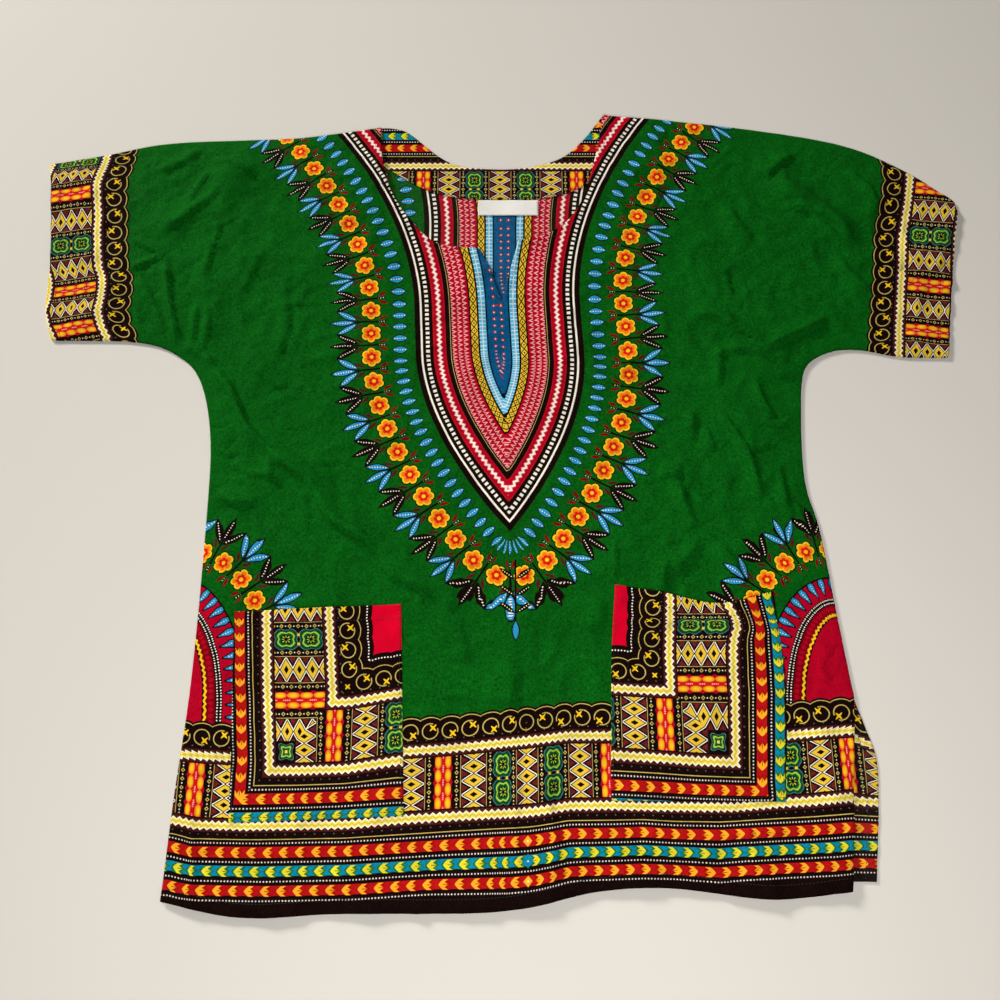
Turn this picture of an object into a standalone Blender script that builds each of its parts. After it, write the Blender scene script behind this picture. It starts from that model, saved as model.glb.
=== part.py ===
"""Dashiki shirt with short kimono sleeves, laid flat with its front up.

Six cut pieces of printed cotton: a back and a front panel, each cut in one with both
sleeves, a facing inside the back of the neck, a small label below it and two patch pockets.
Tables are in millimetres: x runs across the shirt, y up from the lowest point of the hem to
the neck, z up from the floor. Left and right are as seen from above. The finished meshes are
in metres, and their origin is moved to the middle of the shirt's box, at the floor.
"""

import math
from collections import namedtuple

import bpy
import numpy as np
from mathutils.geometry import delaunay_2d_cdt

MM = 0.001

# Driving dimensions
CLOTH = 1.2  # wall of a panel or pocket, with its turned edges
FACING_CLOTH = 1.1
LABEL_CLOTH = 1.0
SEAM_GAP = 0.3  # clear space between pieces that lie on each other
FRONT_PITCH = 15.5  # distance between the mesh points of the front
BACK_PITCH = 42.0
SMALL_PITCH = 20.0
EDGE_STEP = 13.0  # longest side of an outline's facets
SEAM_TAPER = 34.0  # the front rises from the back over this width along a seam
LOFT = 1.8  # air between front and back, away from the seams
NECK_CLEAR = 22.0  # the front lies on the facing as far out as this
NECK_TAPER = 40.0  # and comes down to the back over this width
POCKET_GAPE = 2.6  # how far a pocket's mouth stands off the front
GAPE_DEPTH = 55.0  # how far down from the mouth that reaches

# An outline is a chain of points. A curve passes smoothly through each "curve" point
# and breaks at each "corner".
Point = namedtuple("Point", "name x y turn")

LEFT_SIDE = [
    Point("neck point", -134, 824, "corner"),
    Point("shoulder", -224, 811, "curve"),
    Point("sleeve head", -366, 804, "curve"),
    Point("sleeve end", -438, 789, "curve"),
    Point("cuff top", -502, 776, "corner"),
    Point("cuff dip", -486, 660, "curve"),
    Point("cuff bulge", -483, 597, "curve"),
    Point("cuff foot", -472, 560, "corner"),
    Point("sleeve underside", -385, 558, "curve"),
    Point("armpit top", -342, 545, "curve"),
    Point("armpit", -312, 515, "curve"),
    Point("armpit foot", -295, 452, "curve"),
    Point("chest", -291, 365, "curve"),
    Point("waist", -291, 210, "curve"),
    Point("hip", -297, 98, "curve"),
    Point("hem end", -300, 13, "corner"),
]
FRONT_HEM = [
    Point("hem end", -300, 13, "corner"),
    Point("hem wave", -228, 0, "curve"),
    Point("hem wave", -140, 3, "curve"),
    Point("hem middle", 0, 5, "curve"),
    Point("hem rise", 86, 21, "curve"),
    Point("hem wave", 150, 24, "curve"),
    Point("hem dip", 240, 15, "curve"),
    Point("vent foot", 312, 21, "corner"),
]
FRONT_VENT = [
    Point("vent foot", 312, 21, "corner"),
    Point("vent edge", 317, 62, "curve"),
    Point("vent top", 332, 190, "corner"),
]
BACK_HEM = [
    Point("hem end", -300, 13, "corner"),
    Point("hem", -150, 12, "curve"),
    Point("hem rise", 60, 26, "curve"),
    Point("hem", 170, 32, "curve"),
    Point("vent foot", 335, 29, "corner"),
]
BACK_VENT = [
    Point("vent foot", 335, 29, "corner"),
    Point("vent edge", 344, 92, "curve"),
    Point("vent spread", 347, 134, "curve"),
    Point("vent shoulder", 340, 162, "curve"),
    Point("vent top", 332, 190, "corner"),
]
RIGHT_SIDE = [
    Point("vent top", 332, 190, "corner"),
    Point("waist", 325, 259, "curve"),
    Point("chest", 316, 350, "curve"),
    Point("chest top", 306, 404, "curve"),
    Point("armpit foot", 309, 478, "curve"),
    Point("armpit", 318, 527, "curve"),
    Point("armpit top", 345, 546, "curve"),
    Point("sleeve underside", 376, 549, "curve"),
    Point("sleeve underside", 420, 541, "curve"),
    Point("cuff foot", 469, 540, "corner"),
    Point("cuff", 484, 622, "curve"),
    Point("cuff fold", 502, 713, "curve"),
    Point("cuff top", 498, 731, "corner"),
    Point("sleeve end", 447, 770, "curve"),
    Point("sleeve head", 378, 803, "curve"),
    Point("shoulder", 250, 827, "curve"),
    Point("neck point", 117, 841, "corner"),
]
FRONT_NECK = [
    Point("neck point", 117, 841, "corner"),
    Point("neck side", 106, 782, "curve"),
    Point("neck side", 89, 726, "curve"),
    Point("scoop", 63, 692, "curve"),
    Point("slit top", 20, 677, "corner"),
    Point("slit edge", 11, 642, "curve"),
    Point("slit foot", 2, 604, "corner"),
    Point("slit edge", -10, 642, "curve"),
    Point("slit top", -22, 668, "corner"),
    Point("scoop", -74, 679, "curve"),
    Point("neck side", -114, 728, "curve"),
    Point("neck side", -130, 775, "curve"),
    Point("neck point", -134, 824, "corner"),
]
BACK_NECK = [
    Point("neck point", 117, 841, "corner"),
    Point("neck side", 92, 806, "curve"),
    Point("neck bend", 64, 782, "curve"),
    Point("neck middle", 15, 770, "curve"),
    Point("neck middle", -40, 773, "curve"),
    Point("neck bend", -68, 786, "curve"),
    Point("neck side", -106, 819, "curve"),
    Point("neck point", -134, 824, "corner"),
]
FACING_SHOULDER_LEFT = [
    Point("neck point", -134, 824, "corner"),
    Point("facing end", -166, 819, "corner"),
]
FACING_LOWER_EDGE = [
    Point("facing end", -166, 819, "corner"),
    Point("facing side", -143, 787, "curve"),
    Point("facing bend", -106, 757, "curve"),
    Point("facing bend", -60, 736, "curve"),
    Point("facing middle", 6, 731, "curve"),
    Point("facing bend", 70, 738, "curve"),
    Point("facing side", 112, 766, "curve"),
    Point("facing end", 150, 836, "corner"),
]
FACING_SHOULDER_RIGHT = [
    Point("facing end", 150, 836, "corner"),
    Point("neck point", 117, 841, "corner"),
]
LABEL_EDGE = [
    Point("label corner", -24, 711, "corner"),
    Point("label corner", 42, 711, "corner"),
    Point("label corner", 42, 730, "corner"),
    Point("label corner", -24, 730, "corner"),
    Point("label corner", -24, 711, "corner"),
]
POCKET_LEFT_EDGE = [
    Point("mouth end", -255, 271, "corner"),
    Point("foot", -244, 81, "corner"),
    Point("foot", -87, 87, "corner"),
    Point("mouth end", -95, 278, "corner"),
    Point("mouth end", -255, 271, "corner"),
]
POCKET_RIGHT_EDGE = [
    Point("mouth end", 111, 297, "corner"),
    Point("side", 105, 216, "curve"),
    Point("foot", 101, 100, "corner"),
    Point("foot", 259, 99, "corner"),
    Point("side", 268, 198, "curve"),
    Point("mouth end", 264, 291, "corner"),
    Point("mouth sag", 210, 279, "curve"),
    Point("mouth sag", 150, 291, "curve"),
    Point("mouth end", 111, 297, "corner"),
]

# Ridges of the front's cloth, each along a straight crest that dies away at both ends.
Fold = namedtuple("Fold", "name x1 y1 x2 y2 width height")
FOLDS = [
    Fold("long left diagonal, armpit", -290, 500, -222, 424, 26, 4.8),
    Fold("long left diagonal, chest", -236, 438, -140, 344, 30, 5.6),
    Fold("long left diagonal, waist", -156, 358, -62, 284, 34, 4.4),
    Fold("left sleeve head", -330, 782, -262, 748, 26, 4.2),
    Fold("left sleeve, shoulder to cuff", -284, 770, -394, 668, 34, 4.6),
    Fold("left sleeve, upright", -304, 750, -313, 620, 22, 3.6),
    Fold("left armpit, outer", -350, 652, -341, 556, 20, 4.0),
    Fold("left armpit, inner", -316, 622, -316, 548, 19, 3.8),
    Fold("left chest", -304, 622, -246, 674, 30, 3.2),
    Fold("left side, upper", -286, 384, -236, 410, 24, 2.6),
    Fold("left side, lower", -284, 322, -206, 346, 26, 2.4),
    Fold("right armpit, chest side", 176, 602, 262, 582, 28, 5.4),
    Fold("right armpit, lower", 232, 532, 306, 533, 22, 5.0),
    Fold("right armpit, upper", 262, 584, 308, 556, 22, 4.8),
    Fold("right sleeve, long", 290, 764, 372, 684, 30, 5.0),
    Fold("right sleeve, inner", 366, 690, 398, 616, 26, 4.2),
    Fold("right sleeve head", 362, 786, 420, 720, 24, 4.0),
    Fold("right shoulder", 250, 790, 232, 752, 26, 3.2),
    Fold("right side, long", 232, 496, 270, 352, 24, 4.4),
    Fold("right side, outer", 262, 416, 300, 368, 22, 3.4),
    Fold("right chest", 176, 412, 192, 350, 22, 2.8),
    Fold("right pocket, upper", 208, 338, 246, 308, 20, 2.8),
    Fold("right pocket, inner", 114, 352, 88, 262, 28, 3.4),
    Fold("middle, below the neck", 14, 300, 22, 150, 36, 4.6),
    Fold("middle, hem", 24, 150, 44, 8, 28, 3.6),
    Fold("hem, left end", -288, 140, -285, 14, 20, 3.8),
    Fold("hem, right of the middle", 108, 92, 98, 22, 20, 3.0),
    Fold("hem, right pocket", 236, 96, 236, 18, 24, 3.2),
    Fold("hem, right end", 306, 150, 294, 22, 20, 3.0),
]

Look = namedtuple("Look", "colour roughness")
LOOKS = {
    "front_panel": Look((0.008, 0.126, 0.016), 0.88),
    "back_panel": Look((0.010, 0.105, 0.016), 0.90),
    "back_neck_facing": Look((0.150, 0.045, 0.012), 0.88),
    "neck_label": Look((0.800, 0.790, 0.760), 0.70),
    "pocket_left": Look((0.060, 0.018, 0.010), 0.88),
    "pocket_right": Look((0.065, 0.020, 0.010), 0.88),
}


def clear_scene():
    for obj in list(bpy.data.objects):
        bpy.data.objects.remove(obj, do_unlink=True)


def smooth(t):
    """Rises from 0 to 1 with no kink, as t goes from 0 to 1."""
    t = min(max(t, 0.0), 1.0)
    return t * t * (3.0 - 2.0 * t)


def catmull_rom(before, start, end, after, t):
    """The point at t of 1 on the smooth curve from start to end."""
    return 0.5 * (
        2 * start
        + (end - before) * t
        + (2 * before - 5 * start + 4 * end - after) * t * t
        + (3 * start - before - 3 * end + after) * t**3
    )


def trace(chain, step=EDGE_STEP):
    """Points along a chain, no further apart than step, without its last one."""
    places = [np.array((point.x, point.y), float) for point in chain]
    traced = []
    for i in range(len(chain) - 1):
        start = places[i]
        end = places[i + 1]
        before = places[i - 1] if i > 0 and chain[i].turn == "curve" else 2 * start - end
        has_next = i + 2 < len(chain) and chain[i + 1].turn == "curve"
        after = places[i + 2] if has_next else 2 * end - start
        count = max(1, math.ceil(np.linalg.norm(end - start) / step))
        for k in range(count):
            traced.append(catmull_rom(before, start, end, after, k / count))
    return traced


def loop_of(*chains):
    """One closed outline from chains that follow each other."""
    return np.array([place for chain in chains for place in trace(chain)])


def distance_to_line(places, line):
    """How far each of the places is from the nearest stretch of an open line."""
    nearest = np.full(len(places), np.inf)
    for start, end in zip(line[:-1], line[1:]):
        along = end - start
        share = np.clip(((places - start) @ along) / max(along @ along, 1e-9), 0, 1)
        offset = places - start - share[:, None] * along
        nearest = np.minimum(nearest, np.hypot(offset[:, 0], offset[:, 1]))
    return nearest


def is_inside(places, loop):
    """Whether each of the places is inside a closed loop."""
    inside = np.zeros(len(places), bool)
    for start, end in zip(loop, np.roll(loop, -1, axis=0)):
        crosses = (start[1] > places[:, 1]) != (end[1] > places[:, 1])
        rise = end[1] - start[1] if end[1] != start[1] else 1e-9
        at_x = start[0] + (places[:, 1] - start[1]) * (end[0] - start[0]) / rise
        inside ^= crosses & (places[:, 0] < at_x)
    return inside


def closed(loop):
    return np.vstack([loop, loop[:1]])


def grid_inside(loop, lines, pitch):
    """Points of a triangular grid inside a loop, clear of it and of the other lines."""
    low = loop.min(axis=0)
    high = loop.max(axis=0)
    rows = []
    row_height = pitch * math.sqrt(3) / 2
    for row in range(1, int((high[1] - low[1]) / row_height) + 1):
        shift = pitch / 2 if row % 2 else 0.0
        across = np.arange(low[0] + shift, high[0], pitch)
        rows.append(np.column_stack([across, np.full(len(across), low[1] + row * row_height)]))
    places = np.vstack(rows)
    clear = distance_to_line(places, closed(loop))
    for line in lines:
        clear = np.minimum(clear, distance_to_line(places, line))
    return places[is_inside(places, loop) & (clear > 0.55 * pitch)]


def net_of(loop, patches, pitch):
    """A flat net of triangles over a loop, with the outlines of its patches among its edges.

    Gives the net's points, its triangles, and each patch's own triangles.
    """
    places = []
    faces = []
    for outline in [loop, *patches]:
        first = len(places)
        places.extend(map(tuple, outline))
        faces.append(list(range(first, len(places))))
    if pitch:
        lines = [closed(patch) for patch in patches]
        places.extend(map(tuple, grid_inside(loop, lines, pitch)))
    found = delaunay_2d_cdt([tuple(place) for place in places], [], faces, 1, 1e-6)
    points = np.array([tuple(place) for place in found[0]])
    triangles = []
    for face in found[2]:
        a, b, c = points[face]
        turns_left = (b[0] - a[0]) * (c[1] - a[1]) - (b[1] - a[1]) * (c[0] - a[0]) > 0
        triangles.append(tuple(face) if turns_left else tuple(reversed(face)))
    middles = np.array([points[list(face)].mean(axis=0) for face in triangles])
    of_patches = []
    for patch in patches:
        inside = is_inside(middles, patch)
        of_patches.append([face for face, is_in in zip(triangles, inside) if is_in])
    return points, triangles, of_patches


def cloth_solid(name, points, triangles, underside, cloth):
    """A wall of cloth over the triangles of a net: its underside, its upper side and its edge."""
    used = sorted({corner for face in triangles for corner in face})
    number = {corner: i for i, corner in enumerate(used)}
    count = len(used)
    lower = [(points[i][0], points[i][1], underside[i]) for i in used]
    upper = [(x, y, z + cloth) for x, y, z in lower]
    above = [tuple(number[corner] + count for corner in face) for face in triangles]
    below = [tuple(number[corner] for corner in reversed(face)) for face in triangles]
    edges = {(a, b) for face in triangles for a, b in zip(face, (*face[1:], face[0]))}
    rim = [(number[a], number[b]) for a, b in sorted(edges) if (b, a) not in edges]
    sides = [(a, b, b + count, a + count) for a, b in rim]
    mesh = bpy.data.meshes.new(name)
    vertices = [(x * MM, y * MM, z * MM) for x, y, z in lower + upper]
    mesh.from_pydata(vertices, [], above + below + sides)
    mesh.validate()
    obj = bpy.data.objects.new(name, mesh)
    bpy.context.scene.collection.objects.link(obj)
    mesh.materials.append(cloth_material(name, LOOKS[name]))
    mesh.shade_smooth()
    mesh.set_sharp_from_angle(angle=math.radians(40))
    return obj


def cloth_material(name, look):
    material = bpy.data.materials.new(name + "_cloth")
    material.use_nodes = True
    shader = material.node_tree.nodes["Principled BSDF"]
    shader.inputs["Base Color"].default_value = (*look.colour, 1.0)
    shader.inputs["Roughness"].default_value = look.roughness
    shader.inputs["Metallic"].default_value = 0.0
    return material


def fold_height(place, fold):
    """How far a fold lifts the cloth at a place: round across its crest, fading at its ends."""
    start = np.array((fold.x1, fold.y1), float)
    along = np.array((fold.x2, fold.y2), float) - start
    length = np.linalg.norm(along)
    along = along / length
    offset = place - start
    run = offset @ along
    across = abs(offset[0] * along[1] - offset[1] * along[0])
    if across >= fold.width:
        return 0.0
    ends = smooth((run + fold.width) / (2 * fold.width))
    ends *= smooth((length + fold.width - run) / (2 * fold.width))
    return fold.height * ends * math.cos(0.5 * math.pi * across / fold.width) ** 2


def front_lift(points, facing_loop):
    """How far the front lies above the back at each point of its net."""
    seams = [trace(LEFT_SIDE), trace(RIGHT_SIDE)]
    to_seam = np.minimum(*(distance_to_line(points, np.array(seam)) for seam in seams))
    to_facing = distance_to_line(points, closed(facing_loop))
    to_facing[is_inside(points, facing_loop)] = 0.0
    lifts = []
    for place, seam, facing in zip(points, to_seam, to_facing):
        free = smooth(seam / SEAM_TAPER)
        folds = sum(fold_height(place, fold) for fold in FOLDS)
        over_facing = 1.0 - smooth((facing - NECK_CLEAR) / NECK_TAPER)
        lifts.append((FACING_CLOTH + SEAM_GAP) * over_facing + (LOFT + folds) * free)
    return np.array(lifts)


def pocket_gape(points, mouth):
    """How far a pocket stands off the front: most in the middle of its mouth."""
    left, right = sorted(mouth, key=lambda point: point.x)
    gapes = []
    for x, y in points:
        share = (x - left.x) / (right.x - left.x)
        mouth_y = left.y + share * (right.y - left.y)
        across = math.sin(math.pi * min(max(share, 0.0), 1.0))
        gapes.append(POCKET_GAPE * across * smooth(1.0 - (mouth_y - y) / GAPE_DEPTH))
    return np.array(gapes)


def make_back():
    loop = loop_of(LEFT_SIDE, BACK_HEM, BACK_VENT, RIGHT_SIDE, BACK_NECK)
    points, triangles, _ = net_of(loop, [], BACK_PITCH)
    cloth_solid("back_panel", points, triangles, np.zeros(len(points)), CLOTH)


def make_flat_piece(name, loop, cloth):
    """A small piece that lies flat on the back's inner side."""
    points, triangles, _ = net_of(loop, [], SMALL_PITCH)
    underside = np.full(len(points), CLOTH + SEAM_GAP)
    cloth_solid(name, points, triangles, underside, cloth)


def make_front_and_pockets(facing_loop):
    """The front over the back, and the pockets made from the front's own points, moved out."""
    loop = loop_of(LEFT_SIDE, FRONT_HEM, FRONT_VENT, RIGHT_SIDE, FRONT_NECK)
    pockets = {"pocket_left": POCKET_LEFT_EDGE, "pocket_right": POCKET_RIGHT_EDGE}
    patches = [loop_of(edge) for edge in pockets.values()]
    points, triangles, of_pockets = net_of(loop, patches, FRONT_PITCH)
    underside = CLOTH + SEAM_GAP + front_lift(points, facing_loop)
    cloth_solid("front_panel", points, triangles, underside, CLOTH)
    for (name, edge), own in zip(pockets.items(), of_pockets):
        mouth = {point for point in edge if point.name == "mouth end"}
        pocket_under = underside + CLOTH + SEAM_GAP + pocket_gape(points, mouth)
        cloth_solid(name, points, own, pocket_under, CLOTH)


def centre_on_floor():
    """Moves the meshes so that the origin is the middle of the shirt's box, at the floor."""
    corners = np.array([vertex.co for obj in bpy.data.objects for vertex in obj.data.vertices])
    low = corners.min(axis=0)
    high = corners.max(axis=0)
    middle = (low + high) / 2
    for obj in bpy.data.objects:
        for vertex in obj.data.vertices:
            vertex.co.x -= middle[0]
            vertex.co.y -= middle[1]
            vertex.co.z -= low[2]


def main():
    clear_scene()
    facing_loop = loop_of(
        FACING_SHOULDER_LEFT, FACING_LOWER_EDGE, FACING_SHOULDER_RIGHT, BACK_NECK
    )
    make_back()
    make_flat_piece("back_neck_facing", facing_loop, FACING_CLOTH)
    make_flat_piece("neck_label", loop_of(LABEL_EDGE), LABEL_CLOTH)
    make_front_and_pockets(facing_loop)
    centre_on_floor()


main()
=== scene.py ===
import math

import bmesh
import bpy
import numpy as np
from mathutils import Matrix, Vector, kdtree, noise
from mathutils.bvhtree import BVHTree
from mathutils.geometry import delaunay_2d_cdt


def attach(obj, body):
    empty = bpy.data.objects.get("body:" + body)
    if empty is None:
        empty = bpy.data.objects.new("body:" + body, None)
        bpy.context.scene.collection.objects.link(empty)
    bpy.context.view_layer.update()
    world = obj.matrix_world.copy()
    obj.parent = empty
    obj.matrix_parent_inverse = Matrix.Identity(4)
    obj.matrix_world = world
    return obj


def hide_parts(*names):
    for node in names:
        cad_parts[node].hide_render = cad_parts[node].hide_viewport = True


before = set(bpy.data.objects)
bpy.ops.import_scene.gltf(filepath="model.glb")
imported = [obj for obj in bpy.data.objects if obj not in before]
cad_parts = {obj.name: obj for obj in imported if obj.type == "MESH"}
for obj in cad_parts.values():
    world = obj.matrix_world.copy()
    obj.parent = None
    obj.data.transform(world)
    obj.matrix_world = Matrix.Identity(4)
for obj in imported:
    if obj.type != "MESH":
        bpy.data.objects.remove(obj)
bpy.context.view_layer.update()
bpy.ops.object.select_all(action="DESELECT")

# Tables are in the cutting drawing's millimetres: x across, y up from the lowest point of
# the hem, z up from the floor.
drawing = {"millimetre": 0.001, "middleY": 420.7}
cloth = {
    "pitch": 3.7,  # distance between the points of a net
    "edgeStep": 3.4,
    "lineStep": 6.0,
    "cornerAngle": 32.0,
    "rimWidth": 1.3,  # an edge rounds down over this width
    "rimDrop": 0.35,
    "relaxRounds": 26,
    "clearance": 0.14,  # between pieces that lie on each other
}


def inFrame(points):
    moved = np.array(points, float) - (0.0, drawing["middleY"], 0.0)
    return moved * drawing["millimetre"]


def smooth(share):
    share = np.clip(share, 0.0, 1.0)
    return share * share * (3.0 - 2.0 * share)


def solidTop(nodeName):
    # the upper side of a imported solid: points, faces and its rim, counter-clockwise
    shell = bmesh.new()
    shell.from_mesh(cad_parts[nodeName].data)
    bmesh.ops.remove_doubles(shell, verts=shell.verts, dist=0.00002)
    others = [face for face in shell.faces if face.normal.z < 0.5]
    bmesh.ops.delete(shell, geom=others, context="FACES")
    shell.verts.index_update()
    points = np.array([vert.co for vert in shell.verts]) / drawing["millimetre"]
    points[:, 1] += drawing["middleY"]
    faces = [[vert.index for vert in face.verts] for face in shell.faces]
    following = {}
    for face in shell.faces:
        for corner in face.loops:
            if corner.edge.is_boundary:
                following[corner.vert.index] = corner.link_loop_next.vert.index
    shell.free()
    rim = [next(iter(following))]
    while following[rim[-1]] != rim[0]:
        rim.append(following[rim[-1]])
    return points, faces, points[rim, :2]


def curvePoint(before, start, end, after, t):
    return 0.5 * (
        2 * start
        + (end - before) * t
        + (2 * before - 5 * start + 4 * end - after) * t * t
        + (3 * start - before - 3 * end + after) * t**3
    )


def smoothLine(places, step, closed=False, cornerAngle=180.0):
    # a line through the places, rounded except at its corners
    places = np.array(places, float)
    count = len(places)
    after = np.roll(places, -1, axis=0) - places
    before = np.roll(after, 1, axis=0)
    turn = np.arctan2(after[:, 1], after[:, 0]) - np.arctan2(before[:, 1], before[:, 0])
    isCorner = np.abs((turn + math.pi) % (2 * math.pi) - math.pi) > math.radians(cornerAngle)
    if not closed:
        isCorner[[0, -1]] = True
    line = []
    for i in range(count if closed else count - 1):
        start, end = places[i], places[(i + 1) % count]
        lead = 2 * start - end if isCorner[i] else places[i - 1]
        trail = 2 * end - start if isCorner[(i + 1) % count] else places[(i + 2) % count]
        pieces = max(1, round(np.linalg.norm(end - start) / step))
        line += [curvePoint(lead, start, end, trail, k / pieces) for k in range(pieces)]
    if not closed:
        line.append(places[-1])
    return np.array(line)


def isInside(places, loop):
    inside = np.zeros(len(places), bool)
    for start, end in zip(loop, np.roll(loop, -1, axis=0)):
        rise = end[1] - start[1]
        if rise == 0.0:
            continue
        crosses = (start[1] > places[:, 1]) != (end[1] > places[:, 1])
        atX = start[0] + (places[:, 1] - start[1]) * (end[0] - start[0]) / rise
        inside ^= crosses & (places[:, 0] < atX)
    return inside


def offsetLine(line, distance, closed=False):
    # to the left of its run
    line = np.array(line, float)
    if closed:
        run = np.roll(line, -1, axis=0) - np.roll(line, 1, axis=0)
    else:
        run = np.gradient(line, axis=0)
    run /= np.maximum(np.linalg.norm(run, axis=1), 1e-9)[:, None]
    return line + distance * np.column_stack([-run[:, 1], run[:, 0]])


def alongLine(places, line):
    # for each place: its signed distance from the line (left of its run is positive), and how
    # far along the line it is
    steps = np.linalg.norm(np.diff(line, axis=0), axis=1)
    run = np.concatenate([[0.0], np.cumsum(steps)])
    nearest = np.full(len(places), np.inf)
    side = np.ones(len(places))
    along = np.zeros(len(places))
    for k in range(len(line) - 1):
        direction = (line[k + 1] - line[k]) / max(steps[k], 1e-9)
        offset = places - line[k]
        reach = np.clip(offset @ direction, 0.0, steps[k])
        gap = offset - reach[:, None] * direction
        far = np.hypot(gap[:, 0], gap[:, 1])
        closer = far < nearest
        cross = direction[0] * offset[:, 1] - direction[1] * offset[:, 0]
        nearest[closer] = far[closer]
        side[closer] = np.where(cross[closer] >= 0, 1.0, -1.0)
        along[closer] = run[k] + reach[closer]
    return nearest * side, along


def stretchOf(outline, start, end):
    # the part of a closed outline that runs counter-clockwise between two of its points
    first = int(np.argmin(np.linalg.norm(outline - start, axis=1)))
    last = int(np.argmin(np.linalg.norm(outline - end, axis=1)))
    if last < first:
        last += len(outline)
    return np.array([outline[i % len(outline)] for i in range(first, last + 1)])


def flatNet(rim, pitch, ridges=()):
    # triangles over an outline, with the ridges' lines among their edges
    outline = smoothLine(rim, cloth["edgeStep"], True, cloth["cornerAngle"])
    ring = offsetLine(outline, cloth["rimWidth"], True)
    places = [*outline, *ring]
    edges = []
    for ridge in ridges:
        line = smoothLine(ridge, pitch)
        edges += [(len(places) + k, len(places) + k + 1) for k in range(len(line) - 1)]
        places += list(line)
    low, high = outline.min(axis=0), outline.max(axis=0)
    rows = np.arange(low[1], high[1], pitch * math.sqrt(3) / 2)
    columns = np.arange(low[0], high[0], pitch)
    grid = np.array([(x + pitch / 2 * (k % 2), y) for k, y in enumerate(rows) for x in columns])
    grid = grid[isInside(grid, ring)]
    tree = kdtree.KDTree(len(places))
    for i, (x, y) in enumerate(places):
        tree.insert((x, y, 0.0), i)
    tree.balance()
    free = [tree.find((x, y, 0.0))[2] > 0.62 * pitch for x, y in grid]
    places += list(grid[free])
    loop = [list(range(len(outline)))]
    found = delaunay_2d_cdt([Vector(place) for place in places], edges, loop, 1, 1e-5)
    points = np.array([tuple(place) for place in found[0]])
    faces = np.array(found[2])
    a, b, c = points[faces[:, 0]], points[faces[:, 1]], points[faces[:, 2]]
    turned = (b - a)[:, 0] * (c - a)[:, 1] - (b - a)[:, 1] * (c - a)[:, 0] < 0
    faces[turned] = faces[turned][:, ::-1]
    return points, faces, outline


def heightOver(points, faces):
    # a function that gives the height of a surface over flat places
    surface = BVHTree.FromPolygons([Vector(point) for point in points], [list(f) for f in faces])
    down = Vector((0.0, 0.0, -1.0))

    def heights(places):
        found = np.full(len(places), np.nan)
        for i, (x, y) in enumerate(places):
            hit = surface.ray_cast(Vector((x, y, 200.0)), down)[0]
            if hit is None:  # just outside it, the nearest edge counts
                hit = surface.find_nearest(Vector((x, y, 3.0)), 6.0)[0]
            if hit is not None:
                found[i] = hit.z
        return found

    return heights


def gapTo(points, line):
    return np.abs(alongLine(points, line)[0])


def relaxed(heights, faces, rounds, held):
    # evens out the facets of a surface, without moving the held points
    pairs = np.vstack([faces[:, [0, 1]], faces[:, [1, 2]], faces[:, [2, 0]]])
    pairs = np.unique(np.sort(pairs, axis=1), axis=0)
    count = len(heights)
    degree = np.bincount(pairs.ravel(), minlength=count)
    for _ in range(rounds):
        total = np.bincount(pairs[:, 0], heights[pairs[:, 1]], count)
        total += np.bincount(pairs[:, 1], heights[pairs[:, 0]], count)
        evened = 0.5 * heights + 0.5 * total / np.maximum(degree, 1)
        heights = np.where(held, heights, evened)
    return heights


def creaseLift(places, creases):
    # ridges along curved crests
    steep, gentle = 0.55, 1.6  # the two flanks' shares of a width
    lift = np.zeros(len(places))
    for *crest, width, height, sharpness in creases:
        crest = np.reshape(crest, (-1, 2))
        line = smoothLine(crest, cloth["lineStep"])
        low, high = line.min(axis=0) - gentle * width, line.max(axis=0) + gentle * width
        near = np.all((places > low) & (places < high), axis=1)
        if not near.any():
            continue
        across, along = alongLine(places[near], line)
        length = np.linalg.norm(np.diff(line, axis=0), axis=1).sum()
        # the crest and the width wander a little, and the flank away from the light is steeper
        across = across + 0.3 * width * np.sin(along / 15.0 + crest[0][1])
        run = line[-1] - line[0]
        isSteep = across * (0.69 * run[1] + 0.72 * run[0]) < 0
        wander = 1.0 + 0.22 * np.sin(along / 17.0 + crest[0][0])
        share = np.abs(across) / (width * wander * np.where(isSteep, steep, gentle))
        fade = 0.26 * length
        ends = smooth(along / fade) * smooth((length - along) / fade)
        sharp = np.clip(1.0 - share, 0.0, 1.0) ** 1.5
        lift[near] += height * ends * ((1 - sharpness) * smooth(1.0 - share) + sharpness * sharp)
    return lift


def rumple(places, size, height, seed, ridged=False):
    found = np.array([noise.noise((x, y, seed)) for x, y in places / size])
    if ridged:
        # sharp little crests with rounded hollows between them
        found = 1.4 * (1.0 - np.clip(1.7 * np.abs(found), 0.0, 1.0)) ** 2 - 0.55
    return height * found


def bell(away, width):
    return np.exp(-((away / width) ** 2))


def roundedRim(top, thickness, toRim, tucked):
    # the two heights of a cloth whose edge is rounded
    share = np.clip(1.0 - toRim / (1.4 * cloth["rimWidth"]), 0.0, 1.0) ** 2
    return top - cloth["rimDrop"] * share, top - thickness + tucked * share


def placed(name, mesh, material):
    mesh.shade_smooth()
    mesh.materials.append(material)
    piece = bpy.data.objects.new(name, mesh)
    bpy.context.scene.collection.objects.link(piece)
    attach(piece, "root")
    return piece


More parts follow.
